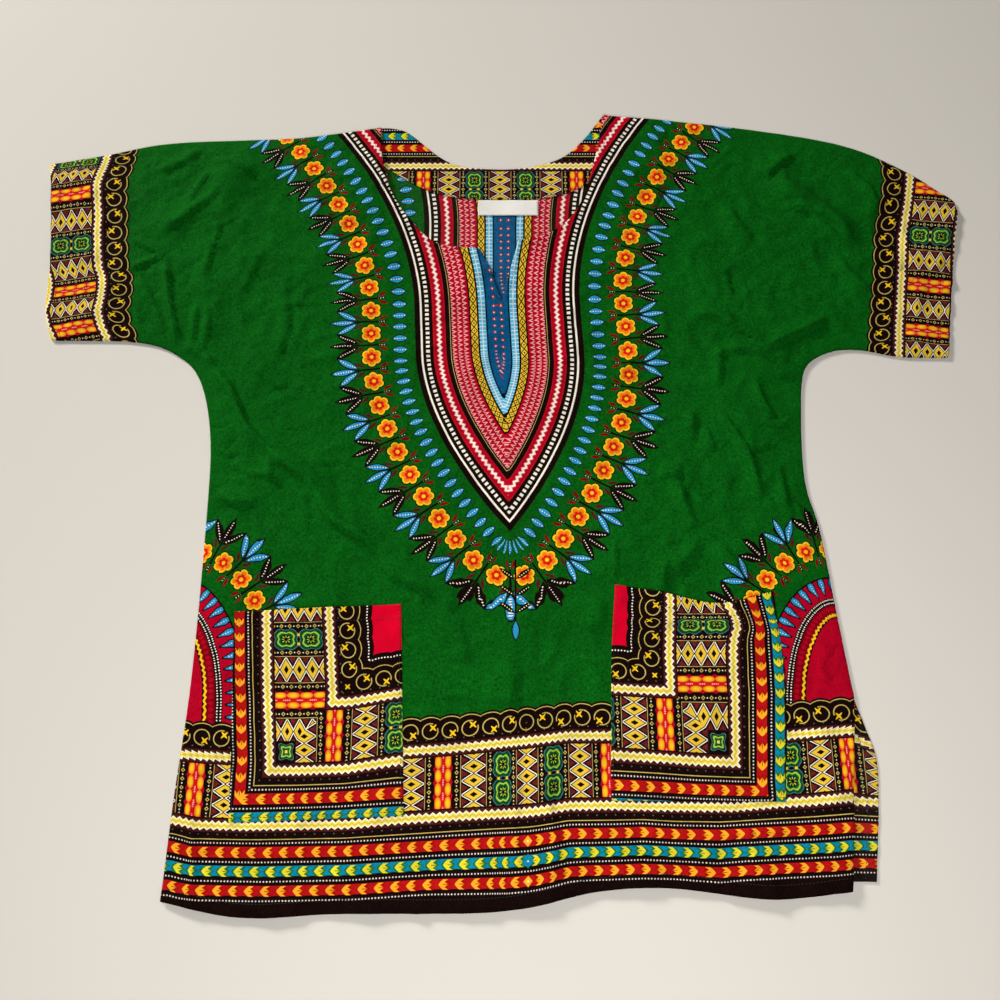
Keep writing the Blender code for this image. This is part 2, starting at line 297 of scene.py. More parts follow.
def clothPiece(name, net, heights, patterns, material, innerUp=False):
    # a closed shell between two heights, and a function for the height of its upper side
    points, faces, _ = net
    top, under = heights
    count = len(points)
    edges = {(int(a), int(b)) for face in faces for a, b in zip(face, np.roll(face, -1))}
    rim = [(a, b) for a, b in edges if (b, a) not in edges]
    upper = np.column_stack([points, top])
    lower = np.column_stack([points, under])
    sides = [(b, a, a + count, b + count) for a, b in rim]
    mesh = bpy.data.meshes.new(name)
    polygons = faces.tolist() + (faces[:, ::-1] + count).tolist() + sides
    mesh.from_pydata(inFrame(np.vstack([upper, lower])).tolist(), [], polygons)
    for pattern, values in patterns.items():
        layer = mesh.attributes.new(pattern, "FLOAT_VECTOR", "POINT")
        layer.data.foreach_set("vector", np.tile(values, (2, 1)).astype(np.float32).ravel())
    side = mesh.attributes.new("innerSide", "FLOAT", "POINT")
    inner = [1.0, 0.0] if innerUp else [0.0, 1.0]
    side.data.foreach_set("value", np.repeat(inner, count).astype(np.float32))
    addMap(mesh, points, len(faces))
    print(f"{name}: {len(mesh.polygons)} faces, top {top.max():.1f} mm")
    return placed(name, mesh, material), heightOver(upper, faces)


def addMap(mesh, points, faceCount):
    # the upper side fills most of the map, and the underside a strip below it
    low = points.min(axis=0)
    size = points.max(axis=0) - low
    corners = np.empty(len(mesh.loops), np.int32)
    mesh.loops.foreach_get("vertex_index", corners)
    share = (points[corners % len(points)] - low) / size.max()
    isUnder = np.arange(len(corners)) // 3
    isUnder = (isUnder >= faceCount) & (isUnder < 2 * faceCount)
    deepest = size[1] / size.max()
    v = np.where(isUnder, 0.002 + 0.13 * share[:, 1] / deepest, 0.15 + 0.84 * share[:, 1])
    layer = mesh.uv_layers.new(name="OFBake")
    places = np.column_stack([0.002 + 0.996 * share[:, 0], v])
    layer.data.foreach_set("uv", places.astype(np.float32).ravel())


class Flow:
    # one socket of a material; arithmetic on it adds Math nodes
    def __init__(self, paint, socket):
        self.paint = paint
        self.socket = socket

    def math(self, operation, *others, clamp=False):
        settings = {"operation": operation, "use_clamp": clamp}
        return self.paint.node("Math", settings, dict(enumerate((self, *others))))

    def __add__(self, other):
        return self.math("ADD", other)

    def __sub__(self, other):
        return self.math("SUBTRACT", other)

    def __mul__(self, other):
        return self.math("MULTIPLY", other)

    def __truediv__(self, other):
        return self * (1.0 / other)

    def __pow__(self, other):
        return self * self if other == 2 else self.math("POWER", other)

    def __abs__(self):
        return self.math("ABSOLUTE")

    def __rsub__(self, other):
        return self.paint.node("Math", {"operation": "SUBTRACT"}, {0: other, 1: self})

    __radd__, __rmul__ = __add__, __mul__

    def cos(self):
        return self.math("COSINE")

    def least(self, other):
        return self.math("MINIMUM", other)

    def most(self, other):
        return self.math("MAXIMUM", other)

    def above(self, edge, soft=0.3):
        # 1 where the flow is over the edge, 0 under it
        if isinstance(edge, Flow):
            return (self - edge).above(0.0, soft)
        return self.math("MULTIPLY_ADD", 1.0 / soft, 0.5 - edge / soft, clamp=True)

    def below(self, edge, soft=0.3):
        if isinstance(edge, Flow):
            return edge.above(self, soft)
        return self.math("MULTIPLY_ADD", -1.0 / soft, edge / soft + 0.5, clamp=True)

    def within(self, centre, half, soft=0.3):
        return abs(self - centre).below(half, soft)

    def apart(self, period):
        # how far the flow is from the nearest multiple of the period
        return self.math("PINGPONG", period / 2.0)

    def signedApart(self, period):
        return self.math("WRAP", period / 2.0, -period / 2.0)

    def isLate(self):
        # 1 in the second half of each whole step
        return self.math("FRACT").above(0.5, 0.001)

    def bands(self, *stops):
        # plain bands of colour, each from its place up to the next one's
        reach = stops[-1][0] * 1.02
        flow = self.paint.node("ValToRGB", {}, {"Fac": self.math("DIVIDE", reach)})
        ramp = flow.socket.node.color_ramp
        ramp.interpolation = "CONSTANT"
        for _ in stops[2:]:
            ramp.elements.new(1.0)
        for element, (place, name) in zip(ramp.elements, stops):
            element.position = place / reach
            element.color = (*palette[name], 1.0)
        return flow


class Paint:
    # the nodes of one material
    def __init__(self, name, roughness=0.86, gloss=0.02):
        self.material = bpy.data.materials.new(name)
        self.material.use_nodes = True
        self.tree = self.material.node_tree
        self.shader = self.tree.nodes["Principled BSDF"]
        self.shader.inputs["Roughness"].default_value = roughness
        self.shader.inputs["Specular IOR Level"].default_value = gloss

    def node(self, kind, settings, sockets, output=0):
        made = self.tree.nodes.new("ShaderNode" + kind)
        for name, setting in settings.items():
            setattr(made, name, setting)
        for key, source in sockets.items():
            if isinstance(source, Flow):
                self.tree.links.new(source.socket, made.inputs[key])
            else:
                made.inputs[key].default_value = source
        return Flow(self, made.outputs[output])

    def attribute(self, name):
        # the three numbers that a mesh carries under this name
        found = self.node("Attribute", {"attribute_name": name}, {}, 1)
        parts = self.node("SeparateXYZ", {}, {0: found}).socket.node
        return [Flow(self, output) for output in parts.outputs]

    def place(self):
        return self.node("TexCoord", {}, {}, 3)

    def noise(self, place, scale, detail=2.0):
        sockets = {"Vector": place, "Scale": scale, "Detail": detail}
        return self.node("TexNoise", {}, sockets)

    def drawn(self, place, scale):
        # noise drawn out into threads
        stretched = self.node("Mapping", {}, {"Vector": place, "Scale": scale})
        return self.noise(stretched, 1.0)

    def show(self, colour, height, strength, distance):
        sockets = {"Strength": strength, "Distance": distance, "Height": height}
        bump = self.node("Bump", {}, sockets)
        self.tree.links.new(colour.socket, self.shader.inputs["Base Color"])
        self.tree.links.new(bump.socket, self.shader.inputs["Normal"])
        return self.material


def asColour(colour):
    return (*palette[colour], 1.0) if isinstance(colour, str) else colour


def laid(under, *layers):
    # colours laid over another one after the other, each as far as its share
    for colour, share in layers:
        sockets = {0: share, 6: asColour(under), 7: asColour(colour)}
        under = share.paint.node("Mix", {"data_type": "RGBA"}, sockets, 2)
    return under


def masked(mask, *layers):
    return [(colour, share * mask) for colour, share in layers]


def spot(across, along, radius):
    # a round dot
    square = along.math("MULTIPLY_ADD", along, across * across)
    return square.below(radius * radius, radius * 0.6)


def leaf(across, along, bend):
    # under its half width inside a pointed leaf
    return abs(across) + along**2 * bend


def pinchedStar(p, q, waist, half):
    longer = p.most(q)
    return (longer - p.least(q) * 0.7).below(waist) * longer.below(half)


def squareRound(x, y):
    # how far out in a square with round corners, and in which direction
    return (x * x * x * x + y * y * y * y) ** 0.25, y.math("ARCTAN2", x)


palette = {
    "ground": (0.002, 0.090, 0.005),
    "black": (0.007, 0.0025, 0.002),
    "cream": (0.90, 0.80, 0.36),
    "white": (0.86, 0.80, 0.68),
    "pearl": (0.74, 0.64, 0.58),
    "gold": (0.52, 0.39, 0.10),
    "yellow": (0.84, 0.52, 0.015),
    "amber": (0.90, 0.38, 0.02),
    "lemon": (0.70, 0.62, 0.03),
    "straw": (0.84, 0.68, 0.11),
    "honey": (0.74, 0.48, 0.035),
    "mustard": (0.62, 0.47, 0.03),
    "orange": (0.80, 0.19, 0.008),
    "red": (0.41, 0.006, 0.008),
    "deepRed": (0.38, 0.0008, 0.001),
    "scarlet": (0.60, 0.008, 0.005),
    "crimson": (0.40, 0.001, 0.016),
    "darkRed": (0.20, 0.001, 0.004),
    "wine": (0.13, 0.013, 0.014),
    "pink": (0.84, 0.36, 0.36),
    "field": (0.64, 0.0005, 0.020),
    "maroon": (0.075, 0.010, 0.009),
    "rust": (0.32, 0.05, 0.001),
    "olive": (0.20, 0.16, 0.002),
    "blue": (0.004, 0.21, 0.35),
    "sky": (0.08, 0.42, 0.66),
    "drop": (0.02, 0.26, 0.50),
    "teal": (0.003, 0.08, 0.20),
    "slate": (0.05, 0.17, 0.15),
    "pine": (0.004, 0.070, 0.045),
    "leafGreen": (0.006, 0.15, 0.02),
    "darkGreen": (0.002, 0.07, 0.02),
    "lime": (0.38, 0.50, 0.05),
    "grey": (0.13, 0.12, 0.09),
}

borderPlan = {
    "bands": [
        (0.0, "black"), (20.0, "red"), (28.3, "black"), (35.7, "blue"), (44.1, "black"),
        (51.4, "red"), (59.9, "black"), (66.6, "gold"), (67.2, "black"), (190.0, "black"),
    ],
    "firstRow": 24.2,
    "rowSpacing": 15.75,
    "rowHalf": 4.15,
    "chevron": 14.2,
    "dotPitch": 2.9,
    "ribbon": 79.4,
    "ribbonSpacing": 60.0,
    "tooth": 6.05,
    "blockMiddle": 109.5,
    "blockHalf": 22.9,
    "column": 28.4,
    "bead": 15.9,
    "beadPitch": 7.9,
    "ring": 18.4,
    "ringMiddle": 156.0,
    "ringRadius": 6.9,
    "scallop": 165.6,
}


def chevronRows(u, v):
    plan = borderPlan
    spacing = plan["rowSpacing"]
    middle = plan["firstRow"] + spacing
    across = (v - plan["firstRow"]).apart(spacing)
    inRows = v.within(middle, 22.6)
    isBlue = v.within(middle, 7.0, 0.5)
    run = (abs(u) + isBlue * 3.6 - 4.8).math("FLOORED_MODULO", plan["chevron"]) + 1.4
    inHeight = across.below(plan["rowHalf"]) * inRows
    nose = 12.9 - (across + 0.5) ** 1.5 * 0.42
    tail = 7.5 - abs(across - 2.15) * 1.55
    # a shade behind the feathers fades into the ground
    shade = (run - tail).math("MULTIPLY_ADD", 0.5, 1.7, clamp=True)
    shade *= run.below(nose + 0.9 + isBlue * 0.9, 0.8)
    streak = across.below(0.45, 0.5) * run.within(6.3, 2.5, 1.0) * inRows
    # a diamond in the middle, where the two runs of chevrons part
    away = abs(u) + across
    dots = spot(across - spacing / 2, u.apart(plan["dotPitch"]), 0.68)
    return [
        (laid("deepRed", ("leafGreen", isBlue)), shade * inHeight),
        (laid("amber", ("lemon", isBlue)), run.above(tail, 0.5) * run.below(nose) * inHeight),
        (laid("rust", ("olive", isBlue)), streak * 0.85),
        ("amber", away.below(4.4) * inRows * (1.0 - isBlue)),
        ("blue", away.below(5.6) * inRows * isBlue),
        ("white", away.below(0.9) * inRows),
        ("pearl", dots * v.within(38.0, 28.0)),
    ]


def ribbons(u, v):
    plan = borderPlan
    wave = u.apart(plan["tooth"]) * (4.0 / plan["tooth"]) - 1.0
    across = (v - plan["ribbon"]).signedApart(plan["ribbonSpacing"])
    outer = abs(across - wave * 1.2)
    inner = abs(across - wave)
    layers = masked(
        v.above(68.5),
        ("maroon", abs(across).below(5.8, 1.2)),
        ("black", outer.below(4.25, 0.6)),
        ("white", outer.below(3.4)),
        ("straw", inner.below(2.2, 1.5)),
        ("mustard", inner.below(0.8, 0.9)),
    )
    rows = abs(v - 71.4).least(abs(v - 148.0))
    return [*layers, ("grey", spot(rows, u.apart(8.65), 0.6))]


def blocks(u, v):
    # columns of diamonds, and between them beads beside a cable or a pair of florets
    plan = borderPlan
    t = v - plan["blockMiddle"]
    run = abs(u)
    m = run.math("PINGPONG", plan["column"])
    n = plan["column"] - m
    tall = t.apart(12.2)
    inBand = abs(t).below(plan["blockHalf"])
    diamond = (m / 10.5 + tall / 6.1).bands(
        (0.0, "black"), (0.37, "honey"), (0.88, "black"), (1.04, "white"),
        (1.19, "black"), (1.50, "wine"), (2.4, "wine"),
    )
    fromBead, alongBeads = m - plan["bead"], t.apart(plan["beadPitch"])
    between = spot(fromBead, plan["beadPitch"] / 2 - alongBeads, 0.6)
    beads = [
        (diamond, m.below(11.2)),
        ("gold", m.within(12.2, 0.27)),
        ("gold", abs(abs(fromBead) + alongBeads - 1.5).below(0.5)),
        ("white", between),
    ]
    # a cable of two lobed strands round a dashed middle
    isCable = (run * (1 / (4 * plan["column"]))).isLate()
    half = 6.1 - tall
    across, along = (n - 4.5) / 2.9, half / 5.9
    lobe = across * across + along * along
    middle = n / 2.5 + tall / 7.5
    dash = n.below(0.55) * tall.below(3.2) * t.apart(1.9).below(0.66)
    cable = [
        ("crimson", n.below(half * half * 0.045 + 7.3)),
        ("orange", lobe.below(1.0, 0.15)),
        ("yellow", lobe.below(0.40, 0.6)),
        ("scarlet", middle.below(1.0, 0.15)),
        ("pink", dash),
    ]
    # lobed squares, one inside another, round eight small petals
    out, turn = squareRound(n / 9.8, (abs(t) - 11.7) / 11.4)
    wobble = (turn * 8.0).cos() * 0.05 + (turn * 4.0).cos() * 0.04
    floret = (out * (wobble + 1.0)).bands(
        (0.0, "black"), (0.40, "darkGreen"), (0.50, "leafGreen"), (0.58, "lime"),
        (0.68, "leafGreen"), (0.76, "black"), (0.82, "pine"), (0.92, "slate"),
        (0.98, "black"), (1.6, "black"),
    )
    petals = abs((turn * 4.0).cos()).above(0.80, 0.2) * out.within(0.24, 0.09, 0.06)
    tie = n.within(4.4, 1.2) * abs(t).below(1.2)
    floretOn = (1.0 - isCable) * inBand * n.below(10.2)
    return [
        ("black", inBand), *masked(inBand, *beads), *masked(isCable * inBand, *cable),
        (floret, floretOn), *masked(floretOn, ("lime", petals), ("yellow", tie)),
    ]


def ringRow(u, v, farRow):
    # open rings with a small pinched star at the gap, under a scalloped line
    plan = borderPlan
    period = plan["ring"]
    run = abs(u)
    x = run.signedApart(period)
    flip = ((run + period / 2) * (0.5 / period)).isLate() * -2.0 + 1.0
    y = (v - plan["ringMiddle"]) * flip * -1.0
    away = (x * x * 0.92 + y * y).math("SQRT")
    rings = away.within(plan["ringRadius"], 0.5) * (1.0 - spot(x + 5.4, y - 5.0, 3.1))
    star = pinchedStar(abs(x + 2.7), abs(y - 3.0), 1.35, 2.9)
    layers = [("gold", rings), ("yellow", star)]
    if farRow:
        layers = masked(farRow, *layers)
    arc = abs((u * (math.pi / period)).cos()) ** 0.7
    edge = arc * 2.9 + plan["scallop"]
    layers.append(("gold", abs(v - edge).below(0.42)))
    if not farRow:
        return layers, v.below(edge + 2.3)
    layers.append(("white", spot(v - arc - 174.6, u.apart(plan["dotPitch"]), 0.74)))
    return layers, v.below(arc * 1.5 + 179.0)


def borderPrint(u, v, ringRun, farRow=None):
    # the printed border at (u along it, v up from its outer edge), and how far it reaches
    rings, reach = ringRow(ringRun, v, farRow)
    layers = [*chevronRows(u, v), *ribbons(u, v), *blocks(u, v), *rings]
    return laid(v.bands(*borderPlan["bands"]), *layers), reach


def neckPrint(s, e):
    # nested bands inside the neck ornament: s along its outline from the tip, e in from it
    bands = e.bands(
        (0.0, "black"), (5.6, "white"), (7.4, "black"), (18.6, "red"), (20.2, "crimson"),
        (30.6, "red"), (32.0, "black"), (36.4, "gold"), (37.1, "black"), (38.6, "crimson"),
        (57.0, "black"), (59.0, "honey"), (65.6, "black"), (67.6, "sky"), (74.6, "black"),
        (76.6, "teal"), (130.0, "teal"),
    )
    squares = (abs(e - 13.0) / 1.9).most(s.apart(5.4) / 1.5)
    zigzag = abs(e - 25.4 - (s.apart(6.0) / 1.5 - 1.0) * 1.3)
    rows = (e - 38.8).math("FLOORED_MODULO", 6.1)
    tooth = s.apart(5.4) / 2.5 + rows / 5.0
    inTeeth = e.within(47.8, 9.0)
    diamond = s.apart(9.0) / 4.5 + abs(e - 62.3) / 3.3
    lattice = abs(diamond - 1.0).below(0.2, 0.08).most(diamond.below(0.3, 0.1))
    ladder = (s.apart(4.4).below(0.5) * e.within(71.1, 3.5)).most(e.within(71.1, 0.5))
    cross = abs((e - 84.0).apart(9.0)) + s.apart(8.0)
    return laid(
        bands,
        ("white", squares.below(1.0, 0.15)),
        ("pink", zigzag.below(1.9)),
        ("white", zigzag.below(1.0)),
        ("pink", tooth.below(1.0, 0.15) * inTeeth),
        ("crimson", tooth.below(0.5, 0.15) * inTeeth),
        ("black", lattice * e.within(62.3, 3.3)),
        ("white", ladder * 0.7),
        *masked(e.above(78.5), ("crimson", cross.below(2.2)), ("white", cross.below(0.9))),
    )


garlandPlan = {
    "beadPitch": 13.4,
    "beadOut": 16.0,
    "cell": 27.4,  # from one sprig to the next
    "bloomOut": 46.0,
    "leafOut": 76.0,
    "swing": 0.5,  # of the two lower leaves
    "seedPitch": 2.7,
}


def garlandPrint(u, v, side):
    # beads, round blooms and three-leaf sprigs that follow the neck ornament's outline
    plan = garlandPlan
    cell, seedPitch = plan["cell"], plan["seedPitch"]
    beadX, beadY = u.signedApart(plan["beadPitch"]), v - plan["beadOut"]
    bead = leaf(beadX, beadY, 3.6 / 60.0)
    seeds = spot(beadX, beadY.apart(seedPitch), 0.62) * bead.below(3.0)
    beads = [("black", bead.below(4.6)), ("drop", bead.below(3.5)), ("white", seeds)]
    # sprigs, between the blooms
    x = u.signedApart(cell)
    across = abs(x)
    isDark = (u * (0.5 / cell) + 0.25).isLate()
    stem = across.below(1.0) * v.within(48.0, 18.0)
    up = v - plan["leafOut"]
    middle = leaf(x, up, 2.7 / 145.0)
    c, si = math.cos(plan["swing"]), math.sin(plan["swing"])
    dx, dy = across - 7.6, v - 71.0
    turnedX, turnedY = dx * c - dy * si, dx * si + dy * c
    lower = leaf(turnedX, turnedY, 2.6 / 120.0)
    leaves = middle.least(lower)
    dots = spot(across, up.apart(seedPitch), 0.62) * middle.below(2.0)
    sideDots = spot(turnedX, turnedY.apart(seedPitch), 0.62) * lower.below(2.0)
    stemDots = spot(across, v.apart(seedPitch), 0.5) * v.within(34.0, 3.6)
    upper = leaf(across - 5.4 - (v - 59.0) * 0.5, v - 59.0, 1.7 / 26.0)
    low = leaf(across - 4.4 + (v - 33.0) * 0.35, v - 33.0, 1.6 / 26.0)
    # blooms, half way between the sprigs
    bloomX, bloomY = (u + cell / 2).signedApart(cell), v - plan["bloomOut"]
    away = (bloomX * bloomX + bloomY * bloomY).math("SQRT")
    petals = abs((bloomY.math("ARCTAN2", bloomX) * 3.0).cos()) ** 0.6
    reach = petals * 3.0 + 7.6
    return [
        *masked(1.0 - side, *beads),
        ("black", leaves.below(3.8).most(stem)),
        ("drop", leaves.below(2.7) * (1.0 - isDark)),
        ("white", dots.most(sideDots).most(stemDots)),
        ("maroon", upper.below(1.7)),
        ("darkRed", low.below(1.6)),
        ("black", away.below(reach + 1.2)),
        ("yellow", away.below(reach)),
        ("orange", away.below(reach - 1.9, 1.2)),
        ("scarlet", away.below(reach * 0.55 - 0.4, 1.2)),
        ("yellow", away.below(2.0)),
    ]


def pendantPrint(x, y):
    # a small upright sprig under the ornament's tip: x across from its stem, y down it
    across = abs(x)
    stem = across.below(0.9) * y.within(34.0, 36.0)
    c, si = math.cos(0.95), math.sin(0.95)
    dx, dy = across - 8.2, (y - 12.0).signedApart(17.0)
    along, beside = dx * si - dy * c, dx * c + dy * si
    body = leaf(beside, along, 2.0 / 70.0)
    inPairs = y.within(30.0, 26.0)
    tip = leaf(x, y - 68.0, 3.0 / 80.0)
    return [
        ("black", stem.most(body.below(2.6) * inPairs)),
        ("cream", spot(beside, along.apart(2.6), 0.55) * body.below(1.6) * inPairs),
        ("black", tip.below(4.0)),
        ("drop", tip.below(2.8)),
    ]


def archPrint(s, e):
    # a half round at each side seam: s along its edge, e in from it
    bands = e.bands(
        (0.0, "black"), (1.6, "crimson"), (20.5, "black"), (27.5, "darkRed"), (38.5, "black"),
        (40.0, "crimson"), (90.0, "crimson"),
    )
    inTooth = s.apart(12.0)
    tooth = inTooth / 3.4 + abs(e - 6.0) / 12.0
    inRing = e.within(10.0, 8.6)
    squares = spot((e - 22.3).apart(3.4), s.apart(3.0), 0.75)
    wave = s.apart(7.0) * (2 / 3.5) - 1.0
    return [
        (bands, e.above(0.0)),
        ("black", tooth.below(1.35, 0.1) * inRing),
        ("drop", tooth.below(0.95, 0.1) * inRing * e.below(16.5)),
        ("white", spot(inTooth, (e - 6.5).apart(2.6), 0.6) * e.within(8.0, 4.2)),
        ("white", squares * e.within(24.0, 2.9)),
        ("crimson", spot(e - 31.5, s.apart(6.4), 2.4)),
        ("yellow", abs(e - 37.4 - wave * 0.9).below(1.1)),
    ]


def clothSurface(paint, colour, weave=0.00006, grain=1.1, crinkle=260.0):
    # slubs, a soft mottling of the dye and the plain weave, finer than the print
    place = paint.place()
    soft = paint.noise(place, 26.0, 3.0)
    slub = paint.drawn(place, (900.0, 300.0, 300.0))
    weft = paint.drawn(place, (320.0, 850.0, 300.0))
    # the threads show less in the bright colours of the print
    bright = paint.node("SeparateColor", {"mode": "HSV"}, {"Color": colour}, 2)
    bright = bright.math("MULTIPLY_ADD", 2.2, -0.3, clamp=True)
    threads = (slub + weft - 1.0) * (grain * 1.3 - bright * grain * 1.1)
    shade = threads + soft * 0.4 + 0.8 + bright * 0.03
    tint = paint.node("CombineColor", {}, {0: shade, 1: shade, 2: shade})
    settings = {"data_type": "RGBA", "blend_type": "MULTIPLY"}
    colour = paint.node("Mix", settings, {0: 1.0, 6: colour, 7: tint}, 2)
    rough = soft * 0.16 + 0.76
    paint.tree.links.new(rough.socket, paint.shader.inputs["Roughness"])
    # short sharp crinkles, here and there
    creased = abs(paint.noise(place, 24.0) - 0.5).least(0.07)
    creased *= paint.noise(place, 8.0, 0.0).above(0.5, 0.14)
    return paint.show(colour, slub * 0.5 + weft * 0.5 + creased * crinkle, 0.5, weave)


def shirtPrintMaterial():
    paint = Paint("shirtPrint")
    u, v, ringRun = paint.attribute("border")
    innerSide = paint.node("Attribute", {"attribute_name": "innerSide"}, {}, 2)
    s, e, pendantY = paint.attribute("neck")
    gU, gV, side = paint.attribute("garland")
    archS, archE, pendantX = paint.attribute("arch")
    colour = laid(
        "ground",
        *garlandPrint(gU, gV, side),
        *pendantPrint(pendantX, pendantY),
        *archPrint(archS, archE),
        (neckPrint(s, e), e.above(0.0)),
        borderPrint(u, v, ringRun),
        ((0.16, 0.17, 0.13, 1.0), innerSide * 0.03),  # the inner side is a little faded
    )
    return clothSurface(paint, colour)


def pocketPrintMaterial():
    # two edges of the border meet in a mitre
    paint = Paint("pocketPrint")
    fromSide, fromFoot, start = paint.attribute("border")
    v, along = fromSide.least(fromFoot), fromSide.most(fromFoot)
    ringStart, ringCorner, floretCorner = 1034.1, 153.6, 96.0
    border, reach = borderPrint(start - along, v, ringStart - along, along.above(160.0))
    star = pinchedStar(abs(fromSide - ringCorner), abs(fromFoot - ringCorner), 1.2, 2.2)
    # a floret in the mitre's corner
    p, q = abs(fromSide - floretCorner), abs(fromFoot - floretCorner)
    out, turn = squareRound(p, q)
    floret = (out * ((turn * 4.0).cos() * 0.16 + 1.0)).bands(
        (0.0, "straw"), (1.2, "darkGreen"), (2.4, "leafGreen"), (3.4, "lime"),
        (4.6, "leafGreen"), (5.4, "black"), (6.2, "slate"), (7.0, "black"), (12.0, "black"),
    )
    border = laid(border, ("yellow", star), (floret, p.most(q).below(9.6)))
    return clothSurface(paint, laid("field", (border, reach)))


def facingPrintMaterial():
    paint = Paint("facingPrint")
    u, v, _ = paint.attribute("border")
    return clothSurface(paint, borderPrint(u, v, u)[0])


def threadMaterial(name, colour):
    paint = Paint(name, roughness=0.55, gloss=0.3)
    settings = {"wave_type": "BANDS", "bands_direction": "DIAGONAL"}
    sockets = {"Vector": paint.place(), "Scale": 900.0}
    twist = paint.node("TexWave", settings, sockets, 1)
    # the thread's twist runs in diagonal bands: the hollows between its turns are painted darker,
    # a painted shade, and the same bands make the bumps
    dark = (*(0.55 * c for c in colour), 1.0)
    return paint.show(laid(dark, ((*colour, 1.0), twist)), twist, 0.6, 0.0001)


shirtPrint = shirtPrintMaterial()
pocketPrint = pocketPrintMaterial()
facingPrint = facingPrintMaterial()
labelSatin = clothSurface(
    Paint("labelSatin", roughness=0.45, gloss=0.5), (0.80, 0.78, 0.74, 1.0), 0.00003, 0.35, 0.0
)
blackThread = threadMaterial("blackThread", (0.02, 0.018, 0.016))
whiteThread = threadMaterial("whiteThread", (0.70, 0.66, 0.58))
print("finishes made:", len(shirtPrint.node_tree.nodes), "nodes in the shirt's print")


